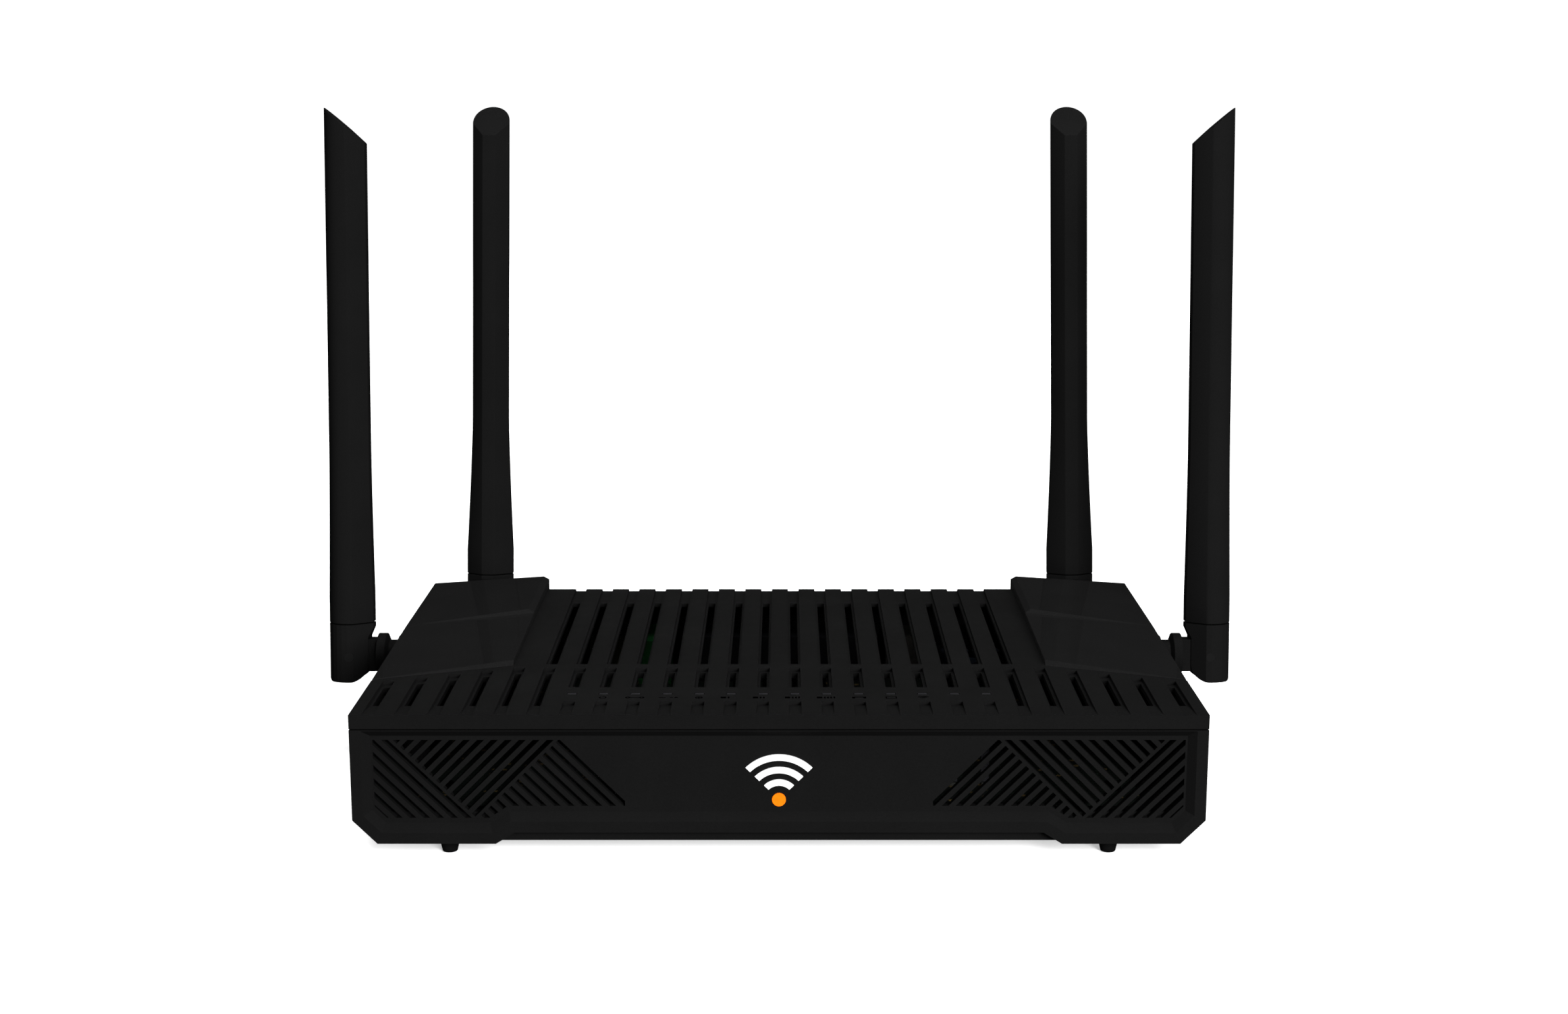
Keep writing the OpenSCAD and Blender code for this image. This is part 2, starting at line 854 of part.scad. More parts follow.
// One bar under the cover with a post for each indicator
module light_guide() {
    bar_low = z_top - plate_t - 3;
    color("#dfe6ea") {
        block(
            [-groove_xs[lens_pairs - 1] - 2, y_front + lens_y - 1, bar_low],
            [groove_xs[lens_pairs - 1] + 2, y_front + lens_y + 1, z_top - plate_t - fit_play]
        );
        for (k = [0:lens_pairs - 1], s = [-1, 1]) {
            x = s * groove_xs[k];
            in = fit_play;
            block(
                [x - lens_w / 2 + in, y_front + lens_y - lens_l / 2 + in, bar_low + 1],
                [x + lens_w / 2 - in, y_front + lens_y + lens_l / 2 - in, z_top - 0.05]
            );
            block(
                [x - 1, y_front + lens_y - 0.8, z_parts + 1.2],
                [x + 1, y_front + lens_y + 0.8, bar_low + e]
            );
        }
    }
}

// ---- Rear ports ----

// Mouth of a modular jack, with the narrow ways for the plug's latch above it
module jack_mouth(x, w, h, deep) {
    low = z_parts + 2;
    block([x - w / 2, y_rear - deep, low], [x + w / 2, y_rear + 2, low + h]);
    block([x - 3.2, y_rear - deep, low], [x + 3.2, y_rear + 2, low + h + 1.6]);
    block([x - 1.8, y_rear - deep, low], [x + 1.8, y_rear + 2, low + h + 3]);
}

module network_jacks() {
    color("#1b1b1d")
    difference() {
        block(
            [jacks_x - jacks_w / 2, y_rear - jack_d, z_parts],
            [jacks_x + jacks_w / 2, y_rear + 0.3, z_parts + jack_h]
        );
        for (k = [0:jack_count - 1])
            jack_mouth(
                jacks_x + (k - (jack_count - 1) / 2) * jack_w,
                jack_mouth_w, jack_mouth_h, jack_mouth_d
            );
    }
}

module phone_jack() {
    color("#c9c5b8")
    difference() {
        block(
            [phone_x - phone_w / 2, y_rear - 18, z_parts],
            [phone_x + phone_w / 2, y_rear + 0.3, z_parts + phone_h]
        );
        jack_mouth(phone_x, 9.8, 6.6, 12);
    }
}

// Square-mouthed fibre adapter with its ceramic sleeve at the back
module optical_port() {
    half = optical_w / 2;
    color("#3f8f4e") {
        difference() {
            block(
                [optical_x - half, y_rear - 24, z_parts],
                [optical_x + half, y_rear + 1.5, z_parts + optical_h]
            );
            block(
                [optical_x - 3.75, y_rear - 12, z_parts + 2],
                [optical_x + 3.75, y_rear + 3, z_parts + 11]
            );
            block([optical_x - 1.2, y_rear - 12, z_parts + 2], [optical_x + 1.2, y_rear + 3, z_parts + 12]);
        }
        rearwards(optical_x, y_rear - 13, z_parts + 6.5) cylinder(d = 3.2, h = 4);
    }
}

module coax_connector() {
    z = z_parts + coax_up;
    color("#c3c0b6")
    difference() {
        union() {
            block([coax_x - 5.6, y_rear - 18, z_parts], [coax_x + 5.6, y_rear - 3, z_parts + 13]);
            rearwards(coax_x, y_rear - 3 - e, z) cylinder(d = coax_collar_d, h = 4);
            rearwards(coax_x, y_rear, z) cylinder(d = coax_d, h = 11);
        }
        rearwards(coax_x, y_rear + 3, z) cylinder(d = 5, h = 9);
    }
}

module power_inlet() {
    z = z_parts + inlet_up;
    color("#202022") {
        difference() {
            block(
                [inlet_x - inlet_w / 2, y_rear - 14, z_parts],
                [inlet_x + inlet_w / 2, y_rear + 0.3, z_parts + inlet_h]
            );
            rearwards(inlet_x, y_rear - 10, z) cylinder(d = inlet_d, h = 12);
        }
        rearwards(inlet_x, y_rear - 10.5, z) cylinder(d = 2, h = 9.5);
    }
}

// ---- Buttons: each one has a cap in the wall and a stem in its switch ----

// A button that points rearwards; the flange behind the wall keeps it in
module push_button(x, w, h, out, stem_l) {
    back = y_rear - wall - slide_play;
    block([x - w / 2, back - 1, button_z - h / 2], [x + w / 2, y_rear + out, button_z + h / 2]);
    block(
        [x - w / 2 - 0.8, back - 1.2, button_z - h / 2 - 0.8],
        [x + w / 2 + 0.8, back, button_z + h / 2 + 0.8]
    );
    rearwards(x, back - 1.2 - stem_l, button_z) cylinder(d = stem_d, h = stem_l + 0.5);
}

// A switch body on the board, with a blind hole for a stem
module switch_body(x, w, deep, front_gap, hole_d, hole_l) {
    face = y_rear - wall - slide_play - 1.2 - front_gap;
    difference() {
        block([x - w / 2, face - deep, z_parts], [x + w / 2, face, button_z + w / 2]);
        rearwards(x, face - hole_l, button_z) cylinder(d = hole_d, h = hole_l + 1);
    }
}

module wps_button() {
    color("#202022") push_button(wps_x, key_w, key_h, 0.6, switch_gap + 1);
}

module wifi_button() {
    color("#202022") push_button(wifi_x, key_w, key_h, 0.6, switch_gap + 1);
}

module power_button() {
    color("#202022") push_button(power_x, power_w, power_h, 2.2, switch_gap + 2);
}

module power_switch() {
    color("#dedede")
        switch_body(power_x, 8.4, 12, switch_gap + 0.5, stem_d + 0.4, 1.5 + power_travel + 1);
}

// The reset plunger stands behind a pin hole in the wall
module reset_plunger() {
    color("#d8d8d8")
        rearwards(reset_x, y_rear - wall - slide_play - 1.2 - switch_gap - 1, button_z)
            cylinder(d = stem_d, h = switch_gap + 1.6);
}

module button_switches() {
    color("#2c2c2e")
    for (x = [wps_x, wifi_x, reset_x])
        switch_body(x, 6, 4, switch_gap, stem_d + 0.4, 1 + travel + 0.6);
}

// ---- Antennas: drawn upright with the swivel axis along +X, from the wall's face ----

module at_antenna(a) {
    rear = a == "rear_left" || a == "rear_right";
    place = rear
        ? [side(a) * rear_antenna_x, y_rear, z_axis]
        : [side(a) * x_side, y_front + side_antenna_y, z_axis];
    translate(place) rotate([0, 0, rear ? 90 : side(a) < 0 ? 180 : 0]) children();
}

// Turns what moves with the swivel to its resting lean
module swivelled(a) {
    rear = a == "rear_left" || a == "rear_right";
    rotate([-side(a) * (rear ? rear_tilt : side_lean), 0, 0]) children();
}

// Turns what moves with the hinge to its resting lean
module folded(a) {
    rear = a == "rear_left" || a == "rear_right";
    translate([pin_out, 0, 0]) rotate([0, rear ? rear_lean : 0, 0])
        translate([-pin_out, 0, 0]) children();
}

module bushing() {
    color("#161617")
    rotate([0, 90, 0])
        rotate_extrude() polygon([
            [shaft_d / 2 + turn_play, -wall - 5.5], [bushing_d / 2, -wall - 5.5], [bushing_d / 2, 0],
            [flange_d / 2, 0], [flange_d / 2, flange_l], [shaft_d / 2 + turn_play, flange_l]
        ]);
}

module swivel() {
    stub = flange_l + fit_play;
    inner = -wall - 5.5 - fit_play;
    color("#18181a")
    difference() {
        union() {
            rotate([0, 90, 0]) rotate_extrude() polygon([
                [0, inner - 1.2], [3.3, inner - 1.2], [3.3, inner], [shaft_d / 2, inner],
                [shaft_d / 2, stub], [stub_d / 2, stub], [stub_d / 2, collar_from - 0.4],
                [collar_d / 2, collar_from + 0.4], [collar_d / 2, collar_to], [0, collar_to]
            ]);
            translate([collar_to - 1, -neck_t / 2, -neck_h / 2])
                cube([pin_out - collar_to + 1, neck_t, neck_h]);
            translate([pin_out, neck_t / 2, 0]) rotate([90, 0, 0]) cylinder(d = neck_h, h = neck_t);
        }
        // way for the aerial lead
        translate([inner - 2, 0, 0]) rotate([0, 90, 0]) cylinder(d = 2.2, h = collar_to - inner);
        translate([pin_out, neck_t, 0])
            rotate([90, 0, 0]) cylinder(r = pin_d / 2 + turn_play, h = 2 * neck_t);
    }
}

module pin() {
    color("#2b2b2d")
    translate([pin_out, knuckle_w / 2 - 0.1, 0])
        rotate([90, 0, 0]) cylinder(d = pin_d, h = knuckle_w - 0.2);
}

// Plan of the blade: a flat facet towards the router with a slanted flat on each side of it,
// and a round back. The width runs along the hinge pin
function blade_plan(w, t, back = outer_out) =
    let(n = 14, mid = back - t / 2)
    concat(
        [[back - t, facet_w / 2], [back - t, -facet_w / 2]],
        [for (k = [0:n]) let(a = -102 + 204 * k / n)
            [mid + cos(a) * t / 2, sin(a) * w / 2]]
    );

module blade_slice(w, t, z, back = outer_out) {
    translate([0, 0, z]) linear_extrude(e) polygon(blade_plan(w, t, back));
}

// Side view of the knuckle: small radius at the outer lower corner, large at the inner one,
// and a lip at the top as thick as the sleeve
module knuckle_side() {
    lip = outer_out - knuckle_t;
    r_out = 1.5;
    r_in = 4.6;
    low = -pin_up;
    top = cheek_h - pin_up;
    union() {
        translate([cheek_out + r_in, low + r_in]) circle(r_in);
        translate([outer_out - r_out, low + r_out]) circle(r_out);
        polygon([
            [cheek_out, low + r_in], [cheek_out + r_in, low], [outer_out - r_out, low],
            [outer_out, low + r_out], [outer_out, top], [lip, top], [lip, top - lip_h],
            [cheek_out, top - lip_h - lip_slope]
        ]);
    }
}

module knuckle() {
    slot_t = neck_t + 2 * fit_play;
    clear_r = neck_h / 2 + 0.3;
    color("#19191b")
    difference() {
        union() {
            intersection() {
                translate([0, 0, -pin_up])
                    linear_extrude(cheek_h) polygon(blade_plan(knuckle_w, knuckle_t));
                rotate([90, 0, 0])
                    translate([0, 0, -knuckle_w]) linear_extrude(2 * knuckle_w) knuckle_side();
            }
            // spigot that holds the sleeve
            translate([outer_out - knuckle_t / 2, 0, cheek_h - pin_up - 1])
                cylinder(d = 6.4, h = 7);
        }
        // way for the neck, from upright to straight
        translate([pin_out, slot_t / 2, 0]) rotate([90, 0, 0]) cylinder(r = clear_r, h = slot_t);
        block([0, -slot_t / 2, -clear_r], [pin_out, slot_t / 2, clear_r]);
        block([pin_out - clear_r, -slot_t / 2, -20], [pin_out + clear_r, slot_t / 2, 0]);
        block([0, -slot_t / 2, -20], [pin_out, slot_t / 2, 0]);
        // pin bore, and the way for the lead
        translate([pin_out, 20, 0]) rotate([90, 0, 0]) cylinder(r = pin_d / 2 + 0.02, h = 40);
        translate([outer_out - knuckle_t / 2, 0, 0]) cylinder(d = 2.2, h = 30);
    }
}

// The sleeve flares from the blade to the knuckle in three straight stages
module sleeve() {
    low = cheek_h - pin_up + gap_line;
    top = tip_above_pin;
    tip = top - tip_drop;
    back = outer_out - blade_setback;
    foot = [knuckle_w, knuckle_t];
    foot_top = foot - [0, 0.4];
    blade = [blade_w, blade_t];
    waist = blade + (foot_top - blade) * 0.4;
    waist_back = outer_out - blade_setback * 0.6;
    flare_mid = (flare_from + flare_to) / 2;
    color("#1a1a1c")
    difference() {
        union() {
            hull() {
                blade_slice(foot[0], foot[1], low);
                blade_slice(foot_top[0], foot_top[1], flare_from - pin_up);
            }
            hull() {
                blade_slice(foot_top[0], foot_top[1], flare_from - pin_up);
                blade_slice(waist[0], waist[1], flare_mid - pin_up, waist_back);
            }
            hull() {
                blade_slice(waist[0], waist[1], flare_mid - pin_up, waist_back);
                blade_slice(blade_w, blade_t, flare_to - pin_up, back);
            }
            translate([0, 0, flare_to - pin_up])
                linear_extrude(top - flare_to + pin_up) polygon(blade_plan(blade_w, blade_t, back));
        }
        // slanted end, low on the side towards the router
        rotate([90, 0, 0]) translate([0, 0, -knuckle_w]) linear_extrude(2 * knuckle_w)
            polygon([
                [back, top], [back - blade_t, tip],
                [back - 2 * blade_t, tip - tip_drop], [back - 2 * blade_t, top + 5],
                [back, top + 5]
            ]);
        // inside
        translate([outer_out - knuckle_t / 2, 0, low - 1])
            cylinder(d = 6.7, h = tip - 2.5 - low);
    }
}

// Lead and sleeve dipole inside the blade
module radiator() {
    x = outer_out - knuckle_t / 2;
    z0 = cheek_h - pin_up + 6.6;
    color("#b88a4a") {
        translate([x, 0, z0]) cylinder(d = 1.6, h = tip_above_pin - tip_drop - 8 - z0);
        translate([x, 0, z0 + 30]) cylinder(d = 4.6, h = 28);
        translate([x, 0, z0 + 64]) cylinder(d = 3.4, h = 30);
    }
}

module antenna_nuts() {
    color("#8a8d90")
    for (a = ANTENNAS) at_antenna(a) translate([-wall - 3, 0, 0]) rotate([0, 90, 0])
        difference() {
            cylinder(d = 11.4, h = 3, $fn = 6);
            translate([0, 0, -1]) cylinder(r = 4.12, h = 5);
        }
}

// ---- Aerial leads inside the body, from each bushing to a shield ----

// A tube swept along points; each ring is square to the way the lead runs there
module tube(points, d) {
    sides = 8;
    n = len(points);
    function unit(v) = v / norm(v);
    function along(k) = unit(points[min(k + 1, n - 1)] - points[max(k - 1, 0)]);
    function across_way(k) = unit(cross(along(k), abs(along(k)[2]) > 0.9 ? [1, 0, 0] : [0, 0, 1]));
    rings = [for (k = [0:n - 1]) let(u = across_way(k), v = cross(along(k), u))
        for (j = [0:sides - 1]) let(a = 360 * j / sides)
            points[k] + d / 2 * (cos(a) * u + sin(a) * v)];
    polyhedron(rings, concat(
        [[for (j = [0:sides - 1]) j]],
        [[for (j = [sides - 1:-1:0]) (n - 1) * sides + j]],
        [for (k = [0:n - 2], j = [0:sides - 1])
            [k * sides + j, (k + 1) * sides + j, (k + 1) * sides + (j + 1) % sides,
                k * sides + (j + 1) % sides]]
    ));
}

// Points of a smooth curve from one place to another that leaves and arrives straight
function lead_points(a, ta, b, tb) =
    [for (k = [0:16]) let(t = k / 16, s = 1 - t)
        s * s * s * a + 3 * s * s * t * (a + ta) + 3 * s * t * t * (b + tb) + t * t * t * b];

module antenna_leads() {
    in = wall + 5.5 + 1.2 + 0.6;
    can_top = z_parts + shield_h + 0.05;
    color("#4a4a4d")
    for (s = [-1, 1]) {
        tube(lead_points(
            [s * (x_side - in), y_front + side_antenna_y, z_axis], [-s * 18, 0, 2],
            [s * (shield_x + 4), y_front + processor_y + 4, can_top], [0, 0, 14]
        ), lead_d);
        tube(lead_points(
            [s * rear_antenna_x, y_rear - in, z_axis], [0, -26, 2],
            [s * (shield_x + 10), y_front + processor_y - 6, can_top], [s * 2, 0, 14]
        ), lead_d);
    }
}

// ---- Nodes ----

top_cover();
left_wing();
right_wing();
front_bezel();
badge_arcs();
badge_dot();
bottom_tray();
light_guide();
tray_screws();
board_screws();
for (k = [0:3]) foot_at(k) foot();
main_board();
processor();
heatsink();
radio_shield_24();
radio_shield_5();
memory_chips();
indicator_leds();
capacitors();
antenna_leads();
antenna_nuts();
optical_port();
network_jacks();
phone_jack();
coax_connector();
power_inlet();
power_switch();
power_button();
button_switches();
wps_button();
wifi_button();
reset_plunger();
for (a = ANTENNAS) {
    at_antenna(a) bushing();
    at_antenna(a) swivelled(a) swivel();
    at_antenna(a) swivelled(a) folded(a) pin();
    at_antenna(a) swivelled(a) folded(a) knuckle();
    at_antenna(a) swivelled(a) folded(a) sleeve();
    at_antenna(a) swivelled(a) folded(a) radiator();
}
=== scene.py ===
import json
import math
import bpy
import bmesh
from mathutils import Matrix, Vector


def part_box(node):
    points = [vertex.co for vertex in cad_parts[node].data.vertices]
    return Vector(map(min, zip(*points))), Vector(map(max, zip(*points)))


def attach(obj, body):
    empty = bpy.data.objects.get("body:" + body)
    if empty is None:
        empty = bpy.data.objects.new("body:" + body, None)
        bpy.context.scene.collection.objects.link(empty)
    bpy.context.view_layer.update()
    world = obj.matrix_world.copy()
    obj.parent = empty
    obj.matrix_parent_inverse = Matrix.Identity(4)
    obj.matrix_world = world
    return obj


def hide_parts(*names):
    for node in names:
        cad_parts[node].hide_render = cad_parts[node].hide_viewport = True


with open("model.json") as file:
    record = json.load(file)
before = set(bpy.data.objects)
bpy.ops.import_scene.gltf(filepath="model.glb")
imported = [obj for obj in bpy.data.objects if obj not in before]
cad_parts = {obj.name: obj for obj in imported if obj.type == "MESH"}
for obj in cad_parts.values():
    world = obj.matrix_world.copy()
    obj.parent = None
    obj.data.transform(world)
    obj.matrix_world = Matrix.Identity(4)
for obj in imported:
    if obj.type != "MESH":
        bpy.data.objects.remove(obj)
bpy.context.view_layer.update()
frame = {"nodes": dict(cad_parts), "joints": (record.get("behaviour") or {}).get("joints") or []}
nodes = frame["nodes"]

# ---- Studio ----
# A pale seamless table under four soft boxes in a dim room. The camera stands
# in front of the router and a little above it, and looks slightly down.
MM = 0.001
CAMERA_SIDE = 1.24 * MM
CAMERA_IN_FRONT = 508 * MM
CAMERA_ABOVE = 153.9 * MM
CAMERA_DIP = math.radians(11.39)
TABLE_BELOW_FEET = 0.2 * MM
WHITE = "#ffffff"
scene = bpy.context.scene
scene.view_settings.view_transform = "Standard"
cover_low, cover_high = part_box("top_cover")

camera_data = bpy.data.cameras.new("camera")
camera_data.lens = 50
camera_data.sensor_width = 36
camera_data.clip_start = 0.01
camera = bpy.data.objects.new("camera", camera_data)
camera.location = (CAMERA_SIDE, cover_low.y - CAMERA_IN_FRONT, cover_high.z + CAMERA_ABOVE)
camera.rotation_euler = (math.radians(90) - CAMERA_DIP, 0, 0)
scene.collection.objects.link(camera)
scene.camera = camera


def linear(hex_colour):
    """Linear RGBA of an sRGB hex colour."""
    shares = [int(hex_colour[i:i + 2], 16) / 255 for i in (1, 3, 5)]
    return tuple(
        c / 12.92 if c <= 0.04045 else ((c + 0.055) / 1.055) ** 2.4 for c in shares
    ) + (1.0,)


def add_node(tree, kind, settings=None, links=None):
    """Adds a node. Settings are sockets or attributes by name, and links are sockets to sources."""
    node = tree.nodes.new(kind)
    for key, value in (settings or {}).items():
        if isinstance(key, int) or key in node.inputs:
            node.inputs[key].default_value = value
        else:
            setattr(node, key, value)
    for socket, source in (links or {}).items():
        tree.links.new(source, node.inputs[socket])
    return node


world = bpy.data.worlds.new("studio_room")
world.use_nodes = True
air = world.node_tree
air.nodes.clear()
backdrop, room, dark_end = [
    add_node(air, "ShaderNodeBackground", {"Color": linear(WHITE), "Strength": strength})
    for strength in (1.1, 0.06, 0.01)]
ray = add_node(air, "ShaderNodeLightPath")
unlit = add_node(air, "ShaderNodeMixShader", {}, {
    0: ray.outputs["Is Glossy Ray"], 1: room.outputs[0], 2: dark_end.outputs[0]})
both = add_node(air, "ShaderNodeMixShader", {}, {
    0: ray.outputs["Is Camera Ray"], 1: unlit.outputs[0], 2: backdrop.outputs[0]})
add_node(air, "ShaderNodeOutputWorld", {}, {"Surface": both.outputs[0]})
scene.world = world


def soft_box(name, place, aim, size, power, mirrored=True):
    """A rectangular soft light that faces a point. Glossy surfaces show it if it is mirrored."""
    light = bpy.data.lights.new(name, "AREA")
    light.shape = "RECTANGLE"
    light.size, light.size_y = size
    light.energy = power
    lamp = bpy.data.objects.new(name, light)
    lamp.location = place
    lamp.rotation_euler = (Vector(aim) - Vector(place)).to_track_quat("-Z", "Y").to_euler()
    lamp.visible_glossy = mirrored
    scene.collection.objects.link(lamp)


soft_box("overhead_box", (0.1, 0.0, 1.3), (0, 0, 0), (0.7, 1.4), 20, mirrored=False)
soft_box("right_box", (0.6, -1.4, 0.5), (0, 0, 0.06), (0.6, 0.6), 50, mirrored=False)
soft_box("left_box", (-1.3, -0.9, 0.5), (0, 0, 0.06), (1.2, 1.2), 3)
soft_box("back_box", (-0.4, 1.3, 0.7), (0, 0, 0.06), (0.9, 0.8), 12, mirrored=False)

# Matt paper: plain near-white with no sheen, and a painted glow: emission that is weaker near the
# router, where it lightens the cast shadow, and stronger further off, so that it meets the white
# backdrop without a line.
sweep_white = bpy.data.materials.new("matt_paper_sweep")
sweep_white.use_nodes = True
sweep = sweep_white.node_tree
paper = sweep.nodes["Principled BSDF"]
paper.inputs["Base Color"].default_value = linear("#f7f7f7")
paper.inputs["Roughness"].default_value = 0.9
paper.inputs["Specular IOR Level"].default_value = 0.0
paper.inputs["Emission Color"].default_value = linear(WHITE)
# Painted glow: the floor's emission strength grows with distance from the middle.
from_middle = add_node(sweep, "ShaderNodeVectorMath", {"operation": "LENGTH"}, {
    0: add_node(sweep, "ShaderNodeTexCoord").outputs["Object"]})
painted_floor_glow = add_node(sweep, "ShaderNodeMapRange", {
    "interpolation_type": "SMOOTHSTEP",
    "From Min": 0.3, "From Max": 1.2, "To Min": 0.45, "To Max": 1.0,
}, {"Value": from_middle.outputs["Value"]})
sweep.links.new(painted_floor_glow.outputs[0], paper.inputs["Emission Strength"])
table_shape = bmesh.new()
bmesh.ops.create_grid(table_shape, x_segments=1, y_segments=1, size=6.0)
table_mesh = bpy.data.meshes.new("table")
table_shape.to_mesh(table_mesh)
table_shape.free()
table_mesh.materials.append(sweep_white)
table = bpy.data.objects.new("table", table_mesh)
table.location.z = -TABLE_BELOW_FEET
table.visible_glossy = False
table.visible_diffuse = False
scene.collection.objects.link(table)

# ---- Top cover ----
# The ribbed lid, injection moulded in black ABS in a spark-eroded mould. Four
# screws that come up through the tray hold it by its bosses.
FLOW_MARK = 14  # millimetres


def moulded(name, colour, roughness, grain=0.35, depth=0.012, level=0.35):
    """Moulded plastic, matt to satin: a grain in millimetres, drawn coarse enough to show.

    Faint flow marks, much larger than the grain, vary its shade and its gloss."""
    material = bpy.data.materials.new(name)
    material.use_nodes = True
    tree = material.node_tree
    surface = tree.nodes["Principled BSDF"]
    place = add_node(tree, "ShaderNodeTexCoord").outputs["Object"]
    flow = add_node(tree, "ShaderNodeTexNoise", {"Scale": 1000 / FLOW_MARK, "Detail": 2.0},
                    {"Vector": place})
    texture = add_node(tree, "ShaderNodeTexNoise",
                       {"Scale": 1000 / grain, "Detail": 3.0, "Roughness": 0.6},
                       {"Vector": place})
    dark, light = [tuple(c * f for c in linear(colour)[:3]) + (1.0,) for f in (0.86, 1.14)]
    spread = add_node(tree, "ShaderNodeMath", {"operation": "MULTIPLY_ADD", 1: 0.35, 2: 0.0},
                      {0: flow.outputs["Fac"]})
    joined = add_node(tree, "ShaderNodeMath", {"operation": "MULTIPLY_ADD", 1: 0.65},
                      {0: texture.outputs["Fac"], 2: spread.outputs[0]})
    shade = add_node(tree, "ShaderNodeMapRange", {"From Min": 0.3, "From Max": 0.7},
                     {"Value": joined.outputs[0]})
    tint = add_node(tree, "ShaderNodeMix", {"data_type": "RGBA", 6: dark, 7: light},
                    {0: shade.outputs[0]})
    gloss = add_node(tree, "ShaderNodeMapRange", {
        "From Min": 0.3, "From Max": 0.7, "To Min": roughness - 0.05, "To Max": roughness + 0.05,
    }, {"Value": flow.outputs["Fac"]})
    relief = add_node(tree, "ShaderNodeBump", {"Strength": 0.6, "Distance": depth * MM},
                      {"Height": texture.outputs["Fac"]})
    tree.links.new(tint.outputs[2], surface.inputs["Base Color"])
    tree.links.new(gloss.outputs[0], surface.inputs["Roughness"])
    tree.links.new(relief.outputs[0], surface.inputs["Normal"])
    surface.inputs["Specular IOR Level"].default_value = level
    surface.inputs["IOR"].default_value = 1.54
    return material


def coat(material, *names):
    """Gives CAD nodes a material."""
    for name in names:
        nodes[name].data.materials.clear()
        nodes[name].data.materials.append(material)


# Matt ABS with a fine even grain, which keeps the ribs dark and nearly free of glare.
cover_abs = moulded("spark_textured_black_abs", "#101010", 0.62, level=0.06)
coat(cover_abs, "top_cover")

# ---- Indicator strip ----
# Fourteen posts of one frosted acrylic light guide end in windows in the lid.
# The symbols in front of eleven of them are pad printed in a dark matt ink.
DEGREES_A_STEP = 18
INK_T = 0.04
LED_W = 1.6 * MM
LED_COUNT = 14
SYMBOL_FROM_FRONT = 15.2 * MM


def finished(name, shape, material, body, smooth=35):
    """The shape as a named piece of one finish on its body, with edges sharp past an angle."""
    bmesh.ops.recalc_face_normals(shape, faces=shape.faces)
    mesh = bpy.data.meshes.new(name)
    shape.to_mesh(mesh)
    shape.free()
    mesh.shade_smooth()
    mesh.set_sharp_from_angle(angle=math.radians(smooth))
    mesh.materials.append(material)
    piece = bpy.data.objects.new(name, mesh)
    scene.collection.objects.link(piece)
    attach(piece, body)
    return piece


def bar(shape, middle, size):
    """A block of the printed or moulded shape, sizes and place in millimetres."""
    made = bmesh.ops.create_cube(shape, size=1.0)["verts"]
    bmesh.ops.scale(shape, vec=Vector(size) * MM, verts=made)
    bmesh.ops.translate(shape, vec=Vector(middle) * MM, verts=made)
    return made


def ring(shape, middle, outer, inner, height, start=0, turn=360):
    """A flat ring, or an arc of it from a start angle, in millimetres and degrees."""
    low, high = -height / 2, height / 2
    first = [shape.verts.new(Vector(corner) * MM) for corner in (
        (inner, 0, low), (outer, 0, low), (outer, 0, high), (inner, 0, high))]
    profile = [shape.edges.new((first[k], first[k - 1])) for k in range(4)]
    before = set(shape.verts) - set(first)
    bmesh.ops.rotate(shape, verts=first, cent=(0, 0, 0),
                     matrix=Matrix.Rotation(math.radians(start), 3, "Z"))
    swept = bmesh.ops.spin(shape, geom=first + profile, cent=(0, 0, 0), axis=(0, 0, 1),
                           angle=math.radians(turn), steps=max(3, int(turn / DEGREES_A_STEP)),
                           use_merge=turn == 360)
    if turn < 360:
        last = [g for g in swept["geom_last"] if isinstance(g, bmesh.types.BMVert)]
        shape.faces.new(first)
        shape.faces.new(last)
    made = [vert for vert in shape.verts if vert not in before]
    bmesh.ops.translate(shape, vec=Vector(middle) * MM, verts=made)


def symbol(shape, kind):
    """A generic indicator symbol about 3 mm wide, drawn flat in X and Y about the origin."""
    t = INK_T
    if kind == "power":
        ring(shape, (0, 0, 0), 0.65, 0.45, t, 115, 310)
        bar(shape, (0, 0.45, 0), (0.2, 0.6, t))
    elif kind == "fibre":
        for x in (-1.2, 1.2):
            ring(shape, (x, 0, 0), 0.45, 0.2, t)
        bar(shape, (0, 0, 0), (1.5, 0.2, t))
    elif kind == "loss":
        bar(shape, (-0.8, 0, 0), (1.2, 0.22, t))
        bar(shape, (0.8, 0, 0), (0.5, 0.22, t))
        ring(shape, (1.6, 0, 0), 0.3, 0.1, t)
    elif kind == "world":
        ring(shape, (0, 0, 0), 0.65, 0.48, t)
        bar(shape, (0, 0, 0), (1.1, 0.16, t))
        bar(shape, (0, 0, 0), (0.16, 1.1, t))
    elif kind == "phone":
        bar(shape, (0, 0.25, 0), (2.4, 0.3, t))
        for x in (-0.95, 0.95):
            bar(shape, (x, -0.2, 0), (0.5, 0.6, t))
    elif kind == "screen":
        for y in (-0.5, 0.5):
            bar(shape, (0, y, 0), (1.9, 0.18, t))
        for x in (-0.86, 0.86):
            bar(shape, (x, 0, 0), (0.18, 0.86, t))
    elif kind == "radio":
        for r in (0.55, 1.0, 1.45):
            ring(shape, (0, -0.6, 0), r, r - 0.22, t, 45, 90)
    elif kind == "reset":
        ring(shape, (0, 0, 0), 0.65, 0.45, t, 30, 300)
    elif kind == "pair":
        for x in (-0.35, 0.35):
            ring(shape, (x, 0, 0), 0.6, 0.42, t, 90 if x < 0 else 270, 180)
    else:
        bar(shape, (-1.3, 0, 0), (0.9, 0.9, t))
        for k in range(kind):
            bar(shape, (-0.4 + 0.55 * k, 0, 0), (0.28, 0.9, t))


